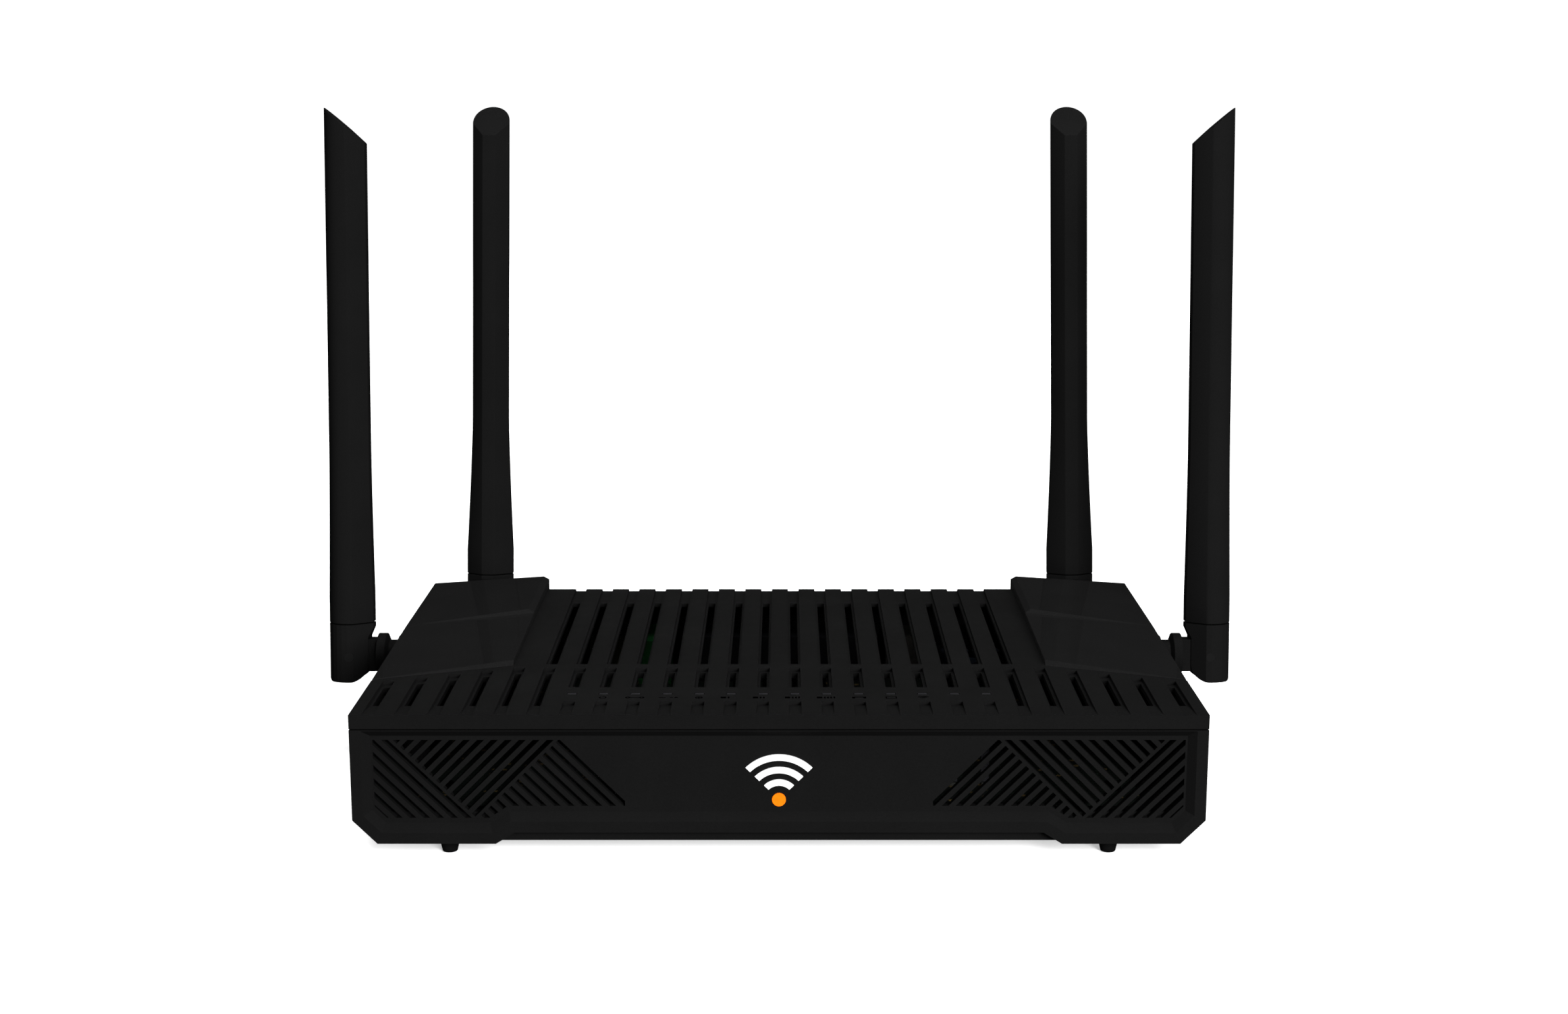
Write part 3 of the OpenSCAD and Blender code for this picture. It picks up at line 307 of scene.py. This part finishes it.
def printed(name, material, marks, body="housing"):
    """Pad-printed symbols: each is a kind, a place and the turn from flat to its face."""
    shape = bmesh.new()
    for kind, place, facing, size in marks:
        before = set(shape.verts)
        symbol(shape, kind)
        made = [vert for vert in shape.verts if vert not in before]
        bmesh.ops.scale(shape, vec=(size, size, 1), verts=made)
        bmesh.ops.transform(shape, matrix=Matrix.Translation(place) @ facing.to_4x4(), verts=made)
    return finished(name, shape, material, body)


# Frosted acrylic, unlit and so nearly as dark as the lid, with a haze of 0.6 mm
# that breaks up its gloss.
guide_acrylic = bpy.data.materials.new("frosted_acrylic")
guide_acrylic.use_nodes = True
guide_tree = guide_acrylic.node_tree
frosted = guide_tree.nodes["Principled BSDF"]
haze = add_node(guide_tree, "ShaderNodeTexNoise", {"Scale": 1000 / 0.6, "Detail": 2.0}, {
    "Vector": add_node(guide_tree, "ShaderNodeTexCoord").outputs["Object"]})
haze_gloss = add_node(guide_tree, "ShaderNodeMapRange", {"To Min": 0.3, "To Max": 0.5},
                      {"Value": haze.outputs["Fac"]})
guide_tree.links.new(haze_gloss.outputs[0], frosted.inputs["Roughness"])
frosted.inputs["Base Color"].default_value = linear("#222224")
frosted.inputs["IOR"].default_value = 1.49
frosted.inputs["Coat Weight"].default_value = 0.1
coat(guide_acrylic, "light_guide")

# Matt pad ink without sheen, which reads as darker marks on the dark lid.
dark_ink = moulded("dark_matt_ink", "#000000", 0.9, grain=0.6, depth=0.001, level=0.0)
led_low, led_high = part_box("indicator_leds")
first_led = led_low.x + LED_W / 2
led_pitch = (led_high.x - led_low.x - LED_W) / (LED_COUNT - 1)
symbol_y = cover_low.y + SYMBOL_FROM_FRONT
kinds = ["power", "fibre", "loss", "world", 1, 2, 3, 4, "phone", "screen", "radio"]
printed("indicator_symbols", dark_ink, [
    (kind, (first_led + (k + 1) * led_pitch, symbol_y, cover_high.z), Matrix.Identity(3), 1.45)
    for k, kind in enumerate(kinds)])

# ---- Wings ----
# The two raised shoulders, separate mouldings in the same black ABS with a
# polished satin face that mirrors the antennas. They lie in pockets of the lid.
FLAT_WITHIN = 0.3


def softened(node, body, material, radius, angle=32):
    """A merged copy of a moulded CAD part, with its mould's small radius on each sharp edge."""
    shape = bmesh.new()
    shape.from_mesh(nodes[node].data)
    bmesh.ops.remove_doubles(shape, verts=shape.verts, dist=0.001 * MM)
    bmesh.ops.dissolve_limit(shape, angle_limit=math.radians(FLAT_WITHIN),
                             verts=shape.verts, edges=shape.edges)
    mesh = bpy.data.meshes.new(node + "_moulded")
    shape.to_mesh(mesh)
    shape.free()
    for layer in ("custom_normal", "sharp_edge", "sharp_face"):
        if layer in mesh.attributes:
            mesh.attributes.remove(mesh.attributes[layer])
    mesh.materials.append(material)
    mesh.shade_smooth()
    mesh.set_sharp_from_angle(angle=math.radians(angle))
    part = bpy.data.objects.new(node + "_moulded", mesh)
    scene.collection.objects.link(part)
    edge = part.modifiers.new("mould_radius", "BEVEL")
    edge.width = radius * MM
    edge.segments = 2
    edge.limit_method = "ANGLE"
    edge.angle_limit = math.radians(angle)
    edge.use_clamp_overlap = False
    edge.harden_normals = True
    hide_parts(node)
    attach(part, body)


# Polished ABS: smooth enough for a faint mirror image, with hardly any grain.
wing_abs = moulded("polished_satin_black_abs", "#131313", 0.06, grain=0.5, depth=0.0004, level=0.5)
for side in ("left", "right"):
    softened(side + "_wing", "housing", wing_abs, 0.1, angle=5)

# ---- Front bezel ----
# The framed front with its slanted louvres, moulded in black ABS like the lid
# and held to the tray by clips behind it.

# The lid's matt ABS, so that the frame and the louvres read as one dark moulding.
bezel_abs = moulded("louvred_black_abs", "#101010", 0.62, level=0.06)
coat(bezel_abs, "front_bezel")

# ---- Front mark ----
# A plain radio-wave mark in place of a maker's one: white arcs and an orange
# dot, thick pad-printed ink on the bezel.

# Thick satin inks, plain and even, the only strong tones on the front.
white_ink = moulded("white_pad_ink", "#e9e9e9", 0.45, grain=0.8, depth=0.002, level=0.3)
orange_ink = moulded("orange_pad_ink", "#e8700c", 0.45, grain=0.8, depth=0.002, level=0.3)
coat(white_ink, "badge_arcs")
coat(orange_ink, "badge_dot")

# ---- Bottom tray ----
# The tub that carries the board, moulded in black ABS with a coarser texture.
# Four screws through its floor hold it to the bosses of the lid.

# Coarser and more matt than the lid, so that the tray stays in the background.
tray_abs = moulded("coarse_black_abs", "#0f0f0f", 0.7, grain=0.5, depth=0.02, level=0.06)
coat(tray_abs, "bottom_tray")

# ---- Feet ----
# Four feet of dark silicone rubber, pressed into the floor of the tray. Their
# surface is fully matt, with a fine dusty grain.
foot_rubber = moulded("black_silicone_rubber", "#0c0c0c", 0.85, grain=0.25, depth=0.015, level=0.15)
for foot in ("front_left", "front_right", "rear_left", "rear_right"):
    softened(foot + "_foot", "housing", foot_rubber, 0.15)

# ---- Screws ----
# Black zinc-plated self-tapping screws. Four come up through the tray into the
# bosses of the lid, and four hold the board down from above.


def metal(name, colour, roughness, line=0.25, streak=(1, 1, 1), depth=0.002):
    """Bare or plated metal with fine marks, their size in millimetres.

    The marks are drawn out along an axis where the metal is streaked, and vary its
    tint and its gloss."""
    material = bpy.data.materials.new(name)
    material.use_nodes = True
    tree = material.node_tree
    surface = tree.nodes["Principled BSDF"]
    place = add_node(tree, "ShaderNodeTexCoord").outputs["Object"]
    drawn = add_node(tree, "ShaderNodeMapping", {"Scale": streak}, {"Vector": place})
    marks = add_node(tree, "ShaderNodeTexNoise", {"Scale": 1000 / line, "Detail": 3.0},
                     {"Vector": drawn.outputs[0]})
    dark, light = [tuple(c * f for c in linear(colour)[:3]) + (1.0,) for f in (0.82, 1.0)]
    tint = add_node(tree, "ShaderNodeMix", {"data_type": "RGBA", 6: dark, 7: light},
                    {0: marks.outputs["Fac"]})
    gloss = add_node(tree, "ShaderNodeMapRange",
                     {"To Min": roughness - 0.08, "To Max": roughness + 0.12},
                     {"Value": marks.outputs["Fac"]})
    relief = add_node(tree, "ShaderNodeBump", {"Strength": 0.4, "Distance": depth * MM},
                      {"Height": marks.outputs["Fac"]})
    tree.links.new(tint.outputs[2], surface.inputs["Base Color"])
    tree.links.new(gloss.outputs[0], surface.inputs["Roughness"])
    tree.links.new(relief.outputs[0], surface.inputs["Normal"])
    surface.inputs["Metallic"].default_value = 1.0
    return material


# Black zinc plating: a dark metal whose fine marks give a broken gleam.
zinc = metal("black_zinc_plated_steel", "#2b2b2d", 0.35)
coat(zinc, "tray_screws", "board_screws")

# ---- Antenna hinges ----
# Each antenna turns in a flanged bushing pressed into the wall: a swivel with a
# round collar, a knuckle that folds over its neck, and a lacquered steel pin.

# Dyed nylon with a soft gloss, ABS with a matt grain, and a satin dark lacquer.
hinge_nylon = moulded("hinge_black_nylon", "#0e0e0e", 0.5, grain=0.4, depth=0.006, level=0.12)
antenna_abs = moulded("antenna_black_abs", "#101010", 0.6, grain=0.3, depth=0.014, level=0.07)
pin_lacquer = moulded("black_lacquered_pin", "#121212", 0.5, grain=0.3, depth=0.003, level=0.1)
ANTENNAS = ("left", "right", "rear_left", "rear_right")
for a in ANTENNAS:
    for piece, body in (("bushing", "housing"), ("swivel", a + "_antenna_base")):
        softened(a + "_antenna_" + piece, body, hinge_nylon, 0.12)
    coat(antenna_abs, a + "_antenna_knuckle")
    coat(pin_lacquer, a + "_antenna_pin")

# ---- Antenna blades ----
# Hollow whips moulded in black ABS, 144 mm long: a flat facet towards the router
# with a slanted flat on each side, a round back, a flared foot and a slanted end.
OUTER = 23.0
PIN_OUT = 16.6
FOOT_LOW = 9.35
FLARE_LOW = 16.8
FLARE_TOP = 57.8
TIP = 153.8
TIP_DROP = 9.9
BLADE_W = 11.2
BLADE_T = 11.5
SETBACK = 0.5
FOOT_W = 14.3
FOOT_T = 12.6
FACET = 3.9
FLARE_CURVE = 1.35
HALF_BACK = 102
BACK_STEPS = 32


def blade_size(v):
    """Width, thickness and back of the blade at a height above its pin, in millimetres."""
    share = min(max((v - FLARE_LOW) / (FLARE_TOP - FLARE_LOW), 0), 1)
    ease = 1 - (1 - share) ** FLARE_CURVE
    width = FOOT_W + (BLADE_W - FOOT_W) * ease
    return width, FOOT_T + (BLADE_T - FOOT_T) * ease, OUTER - SETBACK * ease


def blade_plan(v):
    """Outline of the blade at a height: the facet's two corners, then the round back."""
    w, t, back = blade_size(v)
    middle = back - t / 2
    outline = [(back - t, FACET / 2), (back - t, -FACET / 2)]
    for k in range(BACK_STEPS + 1):
        turn = math.radians(-HALF_BACK + 2 * HALF_BACK * k / BACK_STEPS)
        outline.append((middle + math.cos(turn) * t / 2, math.sin(turn) * w / 2))
    return [Vector((u, p, v)) * MM for u, p in outline]


def blade():
    """One blade in millimetre axes: outwards, along the pin, and up from the pin."""
    shape = bmesh.new()
    heights = [FOOT_LOW, FLARE_LOW - 2, FLARE_LOW]
    heights += [FLARE_LOW + (FLARE_TOP - FLARE_LOW) * k / 10 for k in range(1, 11)]
    heights += [100.0, TIP + 1]
    loop = [shape.verts.new(place) for place in blade_plan(heights[0])]
    edges = [shape.edges.new((loop[k - 1], loop[k])) for k in range(len(loop))]
    shape.faces.new(loop)
    for v in heights[1:]:
        raised = bmesh.ops.extrude_edge_only(shape, edges=edges)["geom"]
        edges = [g for g in raised if isinstance(g, bmesh.types.BMEdge)
                 and abs(g.verts[0].co.z - g.verts[1].co.z) < 1e-9
                 and all(p in raised for p in g.verts)]
        ring_verts = {p for e in edges for p in e.verts}
        w0, t0, back0 = blade_size(heights[heights.index(v) - 1])
        w1, t1, back1 = blade_size(v)
        for p in ring_verts:
            u = back1 * MM - (back0 * MM - p.co.x) * t1 / t0
            on_facet = abs(abs(p.co.y) - FACET / 2 * MM) < 1e-7 and u < (back1 - t1 + 0.01) * MM
            p.co = (u, p.co.y if on_facet else p.co.y * w1 / w0, v * MM)
    slope = Vector((-TIP_DROP, 0, BLADE_T)).normalized()
    bmesh.ops.bisect_plane(shape, geom=shape.verts[:] + shape.edges[:] + shape.faces[:],
                           plane_co=Vector((OUTER - SETBACK, 0, TIP)) * MM, plane_no=slope,
                           dist=1e-7, clear_outer=True)
    rim = [e for e in shape.edges if e.is_boundary]
    bmesh.ops.contextual_create(shape, geom=rim)
    bmesh.ops.recalc_face_normals(shape, faces=shape.faces)
    crisp = [e for e in shape.edges
             if len(e.link_faces) == 2 and e.calc_face_angle() > math.radians(20)]
    bmesh.ops.bevel(shape, geom=crisp, offset=0.25 * MM, offset_type="OFFSET",
                    affect="EDGES", segments=2, profile=0.5, material=-1, clamp_overlap=True)
    return shape


joints = {j["name"]: j for j in frame["joints"]}
for a in ANTENNAS:
    turn, fold = joints[a + "_antenna_turn"], joints[a + "_antenna_fold"]
    hinge = Vector(fold["pos_m"])
    along = Vector(fold["axis"]).normalized()
    out = (hinge - Vector(turn["pos_m"])).normalized()
    lean = Matrix.Rotation(math.radians(-fold["range_deg"][0]), 3, along)
    up = lean @ out.cross(along)
    out = lean @ out
    axes = Matrix((out, along, up)).transposed().to_4x4()
    from_pin = Matrix.Translation((-PIN_OUT * MM, 0, 0))
    whip = blade()
    bmesh.ops.transform(whip, verts=whip.verts,
                        matrix=Matrix.Translation(hinge) @ axes @ from_pin)
    sleeve = finished(a + "_antenna_blade_shell", whip, antenna_abs, a + "_antenna_blade",
                      18)
    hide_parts(a + "_antenna_sleeve")

# ---- Antenna conductors ----
# A brass sleeve dipole in each blade, thin coaxial leads to the board in a black
# jacket, and the hexagon nuts that hold the swivels inside.

# Brass with drawn lines along it, a jacket with a dull sheen, blackened nuts.
radiator_brass = metal("drawn_brass", "#b5904c", 0.3, streak=(1, 1, 0.1))
lead_jacket = moulded("black_lead_jacket", "#131314", 0.5, grain=0.2, depth=0.004, level=0.2)
nut_brass = metal("blackened_brass", "#3a3833", 0.35)
coat(radiator_brass, *[a + "_antenna_radiator" for a in ANTENNAS])
coat(lead_jacket, "antenna_leads")
coat(nut_brass, "antenna_nuts")

# ---- Main board ----
# Glass-fibre laminate with its copper under a black solder mask. It rests on the
# bosses of the tray and carries every chip, jack and switch.

# A satin mask that stays dark behind the vents. Its copper tracks show as paler
# lines, a grid of 0.5 mm drawn coarser so that it shows, between bare pads.
board_mask = bpy.data.materials.new("black_solder_mask")
board_mask.use_nodes = True
tree = board_mask.node_tree
place = add_node(tree, "ShaderNodeTexCoord").outputs["Object"]
tracks = add_node(tree, "ShaderNodeTexBrick", {
    "Scale": 1000 / 9,
    "Color1": linear("#0a0c0b"), "Color2": linear("#0c0f0d"), "Mortar": linear("#161c18"),
    "Mortar Size": 0.025, "Brick Width": 1.3, "Row Height": 0.14,
}, {"Vector": place})
pads = add_node(tree, "ShaderNodeTexVoronoi", {"Scale": 1000 / 4.2, "Randomness": 0.55},
                {"Vector": place})
pad_share = add_node(tree, "ShaderNodeMapRange", {
    "From Min": 0.16, "From Max": 0.2, "To Min": 1.0, "To Max": 0.0,
}, {"Value": pads.outputs["Distance"]})
copper = add_node(tree, "ShaderNodeMix", {"data_type": "RGBA", 7: linear("#4a3f28")},
                  {0: pad_share.outputs[0], 6: tracks.outputs["Color"]})
mask_relief = add_node(tree, "ShaderNodeBump", {"Strength": 0.5, "Distance": 0.02 * MM},
                       {"Height": tracks.outputs["Fac"]})
mask_surface = tree.nodes["Principled BSDF"]
tree.links.new(copper.outputs[2], mask_surface.inputs["Base Color"])
tree.links.new(mask_relief.outputs[0], mask_surface.inputs["Normal"])
mask_surface.inputs["Roughness"].default_value = 0.35
coat(board_mask, "main_board")

# ---- Board parts ----
# Epoxy packages, shield cans painted dark, a black anodised heatsink, sleeved
# capacitors and moulded switches, all soldered to the board and all dark, so
# that nothing pale shows through the slots; the dark of the cans and the LED resin is painted
# shade.

# Satin epoxy and nylon, dark metal with faint marks, a glossier resin and sleeve.
# The cans' metal and the LED resin are painted dark: painted shade behind the slots.
chip_epoxy = moulded("chip_epoxy", "#17181a", 0.5, grain=0.3, depth=0.008)
shield_can_painted_dark = metal("steel_can_painted_dark", "#1c1c1e", 0.45, line=0.5)
sink_alloy = metal("black_anodised_aluminium", "#161618", 0.5, line=0.2, streak=(1, 0.1, 1))
led_resin = moulded("led_resin_painted_dark", "#2a2a28", 0.3, grain=0.5, depth=0.001)
capacitor_sleeve = moulded("capacitor_sleeve", "#11141a", 0.4, grain=1.0, depth=0.001)
switch_plastic = moulded("switch_body_nylon", "#1a1a1b", 0.5, grain=0.4, depth=0.006)
coat(chip_epoxy, "processor", "memory_chips")
coat(shield_can_painted_dark, "radio_shield_24", "radio_shield_5")
coat(sink_alloy, "heatsink")
coat(led_resin, "indicator_leds")
coat(capacitor_sleeve, "capacitors")
coat(switch_plastic, "power_switch", "button_switches", "reset_plunger")

# ---- Network and telephone jacks ----
# Four ganged eight-way jacks and one six-way, moulded in glass-filled polyester.
# Gold-plated spring wires slope back from the upper lip of each mouth.

# Satin polyester with a fibre grain, dark in the mouths, and bright gold wires.
jack_black = moulded("jack_black_polyester", "#141416", 0.45, grain=0.4, depth=0.008, level=0.3)
phone_grey = moulded("jack_grey_polyester", "#2c2b29", 0.45, grain=0.4, depth=0.008, level=0.3)
contact_gold = metal("gold_plated_bronze", "#d0a548", 0.22, line=0.3)
coat(jack_black, "network_jacks")
coat(phone_grey, "phone_jack")
jacks_low, jacks_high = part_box("network_jacks")
phone_low, phone_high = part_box("phone_jack")
jack_pitch = (jacks_high.x - jacks_low.x) / 4
WIRE_PITCH = 1.02
WIRE = (0.35, 7.6, 0.22)
WIRE_SLOPE = math.radians(20)
WIRE_BACK = 7.2
WIRE_UNDER_LIP = 1.4
springs = bmesh.new()
jack_rows = [(jacks_low.x + (k + 0.5) * jack_pitch, jacks_high, 8, 8.7) for k in range(4)]
jack_rows.append(((phone_low.x + phone_high.x) / 2, phone_high, 4, 8.4))
for jack_x, high, wires, mouth_top in jack_rows:
    floor_z = high.z / MM - (13.4 if wires == 8 else 12.6)
    for k in range(wires):
        x = jack_x / MM + (k - (wires - 1) / 2) * WIRE_PITCH
        wire = bar(springs, (0, 0, 0), WIRE)
        middle = (x, high.y / MM - WIRE_BACK, floor_z + mouth_top - WIRE_UNDER_LIP)
        bmesh.ops.rotate(springs, verts=wire, cent=(0, 0, 0),
                         matrix=Matrix.Rotation(WIRE_SLOPE, 3, "X"))
        bmesh.ops.translate(springs, verts=wire, vec=Vector(middle) * MM)
finished("jack_contacts", springs, contact_gold, "housing")

# ---- Jack gaskets ----
# Frames of black sponge rubber pushed over the jacks from inside, which close
# the play between each jack and the edge of its opening in the rear wall.

# Sponge with open cells and hardly any sheen, nearly black.
gasket_sponge = moulded("black_sponge_rubber", "#0b0b0b", 0.9, grain=0.8, depth=0.03, level=0.05)
WALL = 2.2
GASKET_DEEP = 1.2
GASKET_WIDE = 1.6
GASKET_BITE = 0.1
OFF_WALL = 0.05
OFF_BOARD = 0.3
wall_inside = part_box("bottom_tray")[1].y / MM - WALL
for name, node in (("jack", "network_jacks"), ("phone", "phone_jack"),
                   ("fibre", "optical_port"), ("inlet", "power_inlet")):
    low, high = [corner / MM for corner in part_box(node)]
    gasket = bmesh.new()
    across = (low.x + high.x) / 2
    back = wall_inside - OFF_WALL - GASKET_DEEP / 2
    bar(gasket, (across, back, high.z - GASKET_BITE + GASKET_WIDE / 2),
        (high.x - low.x + 2 * (GASKET_WIDE - GASKET_BITE), GASKET_DEEP, GASKET_WIDE))
    leg_low, leg_high = low.z + OFF_BOARD, high.z - GASKET_BITE
    for x in (low.x + GASKET_BITE - GASKET_WIDE / 2, high.x - GASKET_BITE + GASKET_WIDE / 2):
        bar(gasket, (x, back, (leg_low + leg_high) / 2),
            (GASKET_WIDE, GASKET_DEEP, leg_high - leg_low))
    bmesh.ops.bevel(gasket, geom=gasket.edges[:], offset=0.15 * MM, offset_type="OFFSET",
                    affect="EDGES", segments=1, profile=0.5, material=-1)
    finished(name + "_gasket", gasket, gasket_sponge, "housing")

# ---- Fibre port ----
# A single-mode adapter moulded in green polyester, with a sleeve at the back of
# its mouth that lines up the plug. It is fixed to the board.

# Satin green, the only colour on the rear wall, painted darker than its own
# green: a painted shade that keeps it dim where it shows through the slots.
adapter_green = moulded("adapter_green_polyester", "#14401f", 0.4,
                        grain=0.5, depth=0.006, level=0.3)
coat(adapter_green, "optical_port")

# ---- Coaxial connector ----
# A nickel-plated socket with a rolled 3/8 inch thread, a collar behind it that
# bears on the wall, and a white insulator round its centre contact.

# Bright nickel with a warm tint and fine marks that keep it from a mirror.
nickel = metal("bright_nickel_plate", "#bcb8a8", 0.22, line=0.4)
coax_low, coax_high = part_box("coax_connector")
coax_x = (coax_low.x + coax_high.x) / 2 / MM
COAX_UP = 7.5
COAX_OUT = 11
COLLAR_R = 5.56
THREAD_R = 4.76
ROOT_R = 4.3
THREAD_PITCH = 0.79
BORE_R = 3.0
CHAMFER = 0.3
BASE_BACK = 3.0
coax_z = coax_low.z / MM + COAX_UP
mouth_y = coax_high.y / MM
wall_y = mouth_y - COAX_OUT
outline = [(0, wall_y - BASE_BACK - 0.1), (COLLAR_R, wall_y - BASE_BACK - 0.1),
           (COLLAR_R, wall_y + 1 - CHAMFER), (COLLAR_R - CHAMFER, wall_y + 1), (ROOT_R, wall_y + 1)]
at = wall_y + 1.4
while at < mouth_y - 1.0:
    crest = [at + THREAD_PITCH * share for share in (0.4, 0.6)]
    outline += [(ROOT_R, at), (THREAD_R, crest[0]), (THREAD_R, crest[1])]
    at += THREAD_PITCH
outline += [(ROOT_R, at), (ROOT_R, mouth_y - CHAMFER), (ROOT_R - CHAMFER, mouth_y),
            (BORE_R + CHAMFER, mouth_y), (BORE_R, mouth_y - CHAMFER),
            (BORE_R, mouth_y - 1.2), (0, mouth_y - 1.2)]
barrel = bmesh.new()
spun = [barrel.verts.new(Vector((r, y, 0)) * MM) for r, y in outline]
lines = [barrel.edges.new(pair) for pair in zip(spun, spun[1:])]
bmesh.ops.spin(barrel, geom=spun + lines, cent=(0, 0, 0), axis=(0, 1, 0),
               angle=math.tau, steps=40, use_merge=True)
bmesh.ops.remove_doubles(barrel, verts=barrel.verts, dist=0.001 * MM)
bmesh.ops.translate(barrel, verts=barrel.verts, vec=Vector((coax_x, 0, coax_z)) * MM)
BASE_W = 11.2
BASE_H = 13
base_low = coax_low.y / MM
base_high = wall_y - BASE_BACK
bar(barrel, (coax_x, (base_low + base_high) / 2, coax_low.z / MM + BASE_H / 2),
    (BASE_W, base_high - base_low, BASE_H))
socket = finished("coax_threaded_barrel", barrel, nickel, "housing", 25)
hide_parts("coax_connector")

# Waxy white plastic, plain and slightly yellow.
insulator_white = moulded("white_insulator", "#d8d6cf", 0.5, grain=0.5, depth=0.002, level=0.3)
FACING_BACK = Matrix.Rotation(math.radians(90), 3, "X")
CONTACT_R = 0.7
insulator = bmesh.new()
ring(insulator, (0, 0, 0), BORE_R - 0.02, CONTACT_R, 0.6)
bmesh.ops.rotate(insulator, verts=insulator.verts, cent=(0, 0, 0), matrix=FACING_BACK)
bmesh.ops.translate(insulator, verts=insulator.verts,
                    vec=Vector((coax_x, mouth_y - 0.9, coax_z)) * MM)
finished("coax_insulator", insulator, insulator_white, "housing")

# ---- Power inlet ----
# A barrel socket for the adapter's 5.5 mm plug, soldered to the board: the black
# polyester of the jacks round a bright nickel-plated pin.
INLET_UP = 6.2
PIN_R = 1.03
PIN_LONG = 9.0
PIN_BACK = 6.0
coat(jack_black, "power_inlet")
inlet_low, inlet_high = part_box("power_inlet")
inlet_x = (inlet_low.x + inlet_high.x) / 2 / MM
inlet_z = inlet_low.z / MM + INLET_UP
pin_shape = bmesh.new()
bmesh.ops.create_cone(pin_shape, cap_ends=True, segments=24, depth=PIN_LONG * MM,
                      radius1=PIN_R * MM, radius2=PIN_R * MM)
bmesh.ops.bevel(pin_shape, geom=[e for e in pin_shape.edges if e.calc_face_angle() > 1],
                offset=0.3 * MM, offset_type="OFFSET", affect="EDGES",
                segments=3, profile=0.5, material=-1)
bmesh.ops.rotate(pin_shape, verts=pin_shape.verts, cent=(0, 0, 0), matrix=FACING_BACK)
bmesh.ops.translate(pin_shape, verts=pin_shape.verts,
                    vec=Vector((inlet_x, inlet_high.y / MM - PIN_BACK, inlet_z)) * MM)
finished("inlet_pin", pin_shape, nickel, "housing")

# ---- Buttons ----
# Three moulded keys in the rear wall with printed symbols, and a plunger for a
# pin behind its hole. Each key is sprung by the switch behind it.

# Keys slightly glossier than the wall, and a soft grey pad ink on them.
key_abs = moulded("key_black_abs", "#131313", 0.45, grain=0.35, depth=0.008, level=0.2)
grey_ink = moulded("pale_grey_ink", "#a9a9a9", 0.5, grain=0.6, depth=0.001, level=0.2)
rear_face = Matrix.Rotation(math.radians(180), 3, "Z") @ FACING_BACK
for key, body, kind, size in (("power_button", "power_key", "power", 2.6),
                              ("wps_button", "wps_key", "pair", 1.7),
                              ("wifi_button", "wifi_key", "radio", 1.4)):
    softened(key, body, key_abs, 0.25)
    low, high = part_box(key)
    face = ((low.x + high.x) / 2, high.y, (low.z + high.z) / 2)
    printed(key + "_symbol", grey_ink, [(kind, face, rear_face, size)], body)

# ---- Port symbols ----
# Pad print on the rear wall above each port, in the same pale grey ink as the
# keys: symbols only, and no wording.
PORT_SYMBOL = 1.2
wall_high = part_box("bottom_tray")[1]
symbol_z = wall_high.z - 2.6 * MM
ports = []
for kind, node in (("fibre", "optical_port"), ("screen", "coax_connector"),
                   ("phone", "phone_jack"), ("reset", "reset_plunger")):
    low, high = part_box(node)
    ports.append((kind, (low.x + high.x) / 2))
ports += [(4 - k, jacks_low.x + (k + 0.5) * jack_pitch) for k in range(4)]
printed("port_symbols", grey_ink, [
    (kind, (x, wall_high.y, symbol_z), rear_face, PORT_SYMBOL) for kind, x in ports])
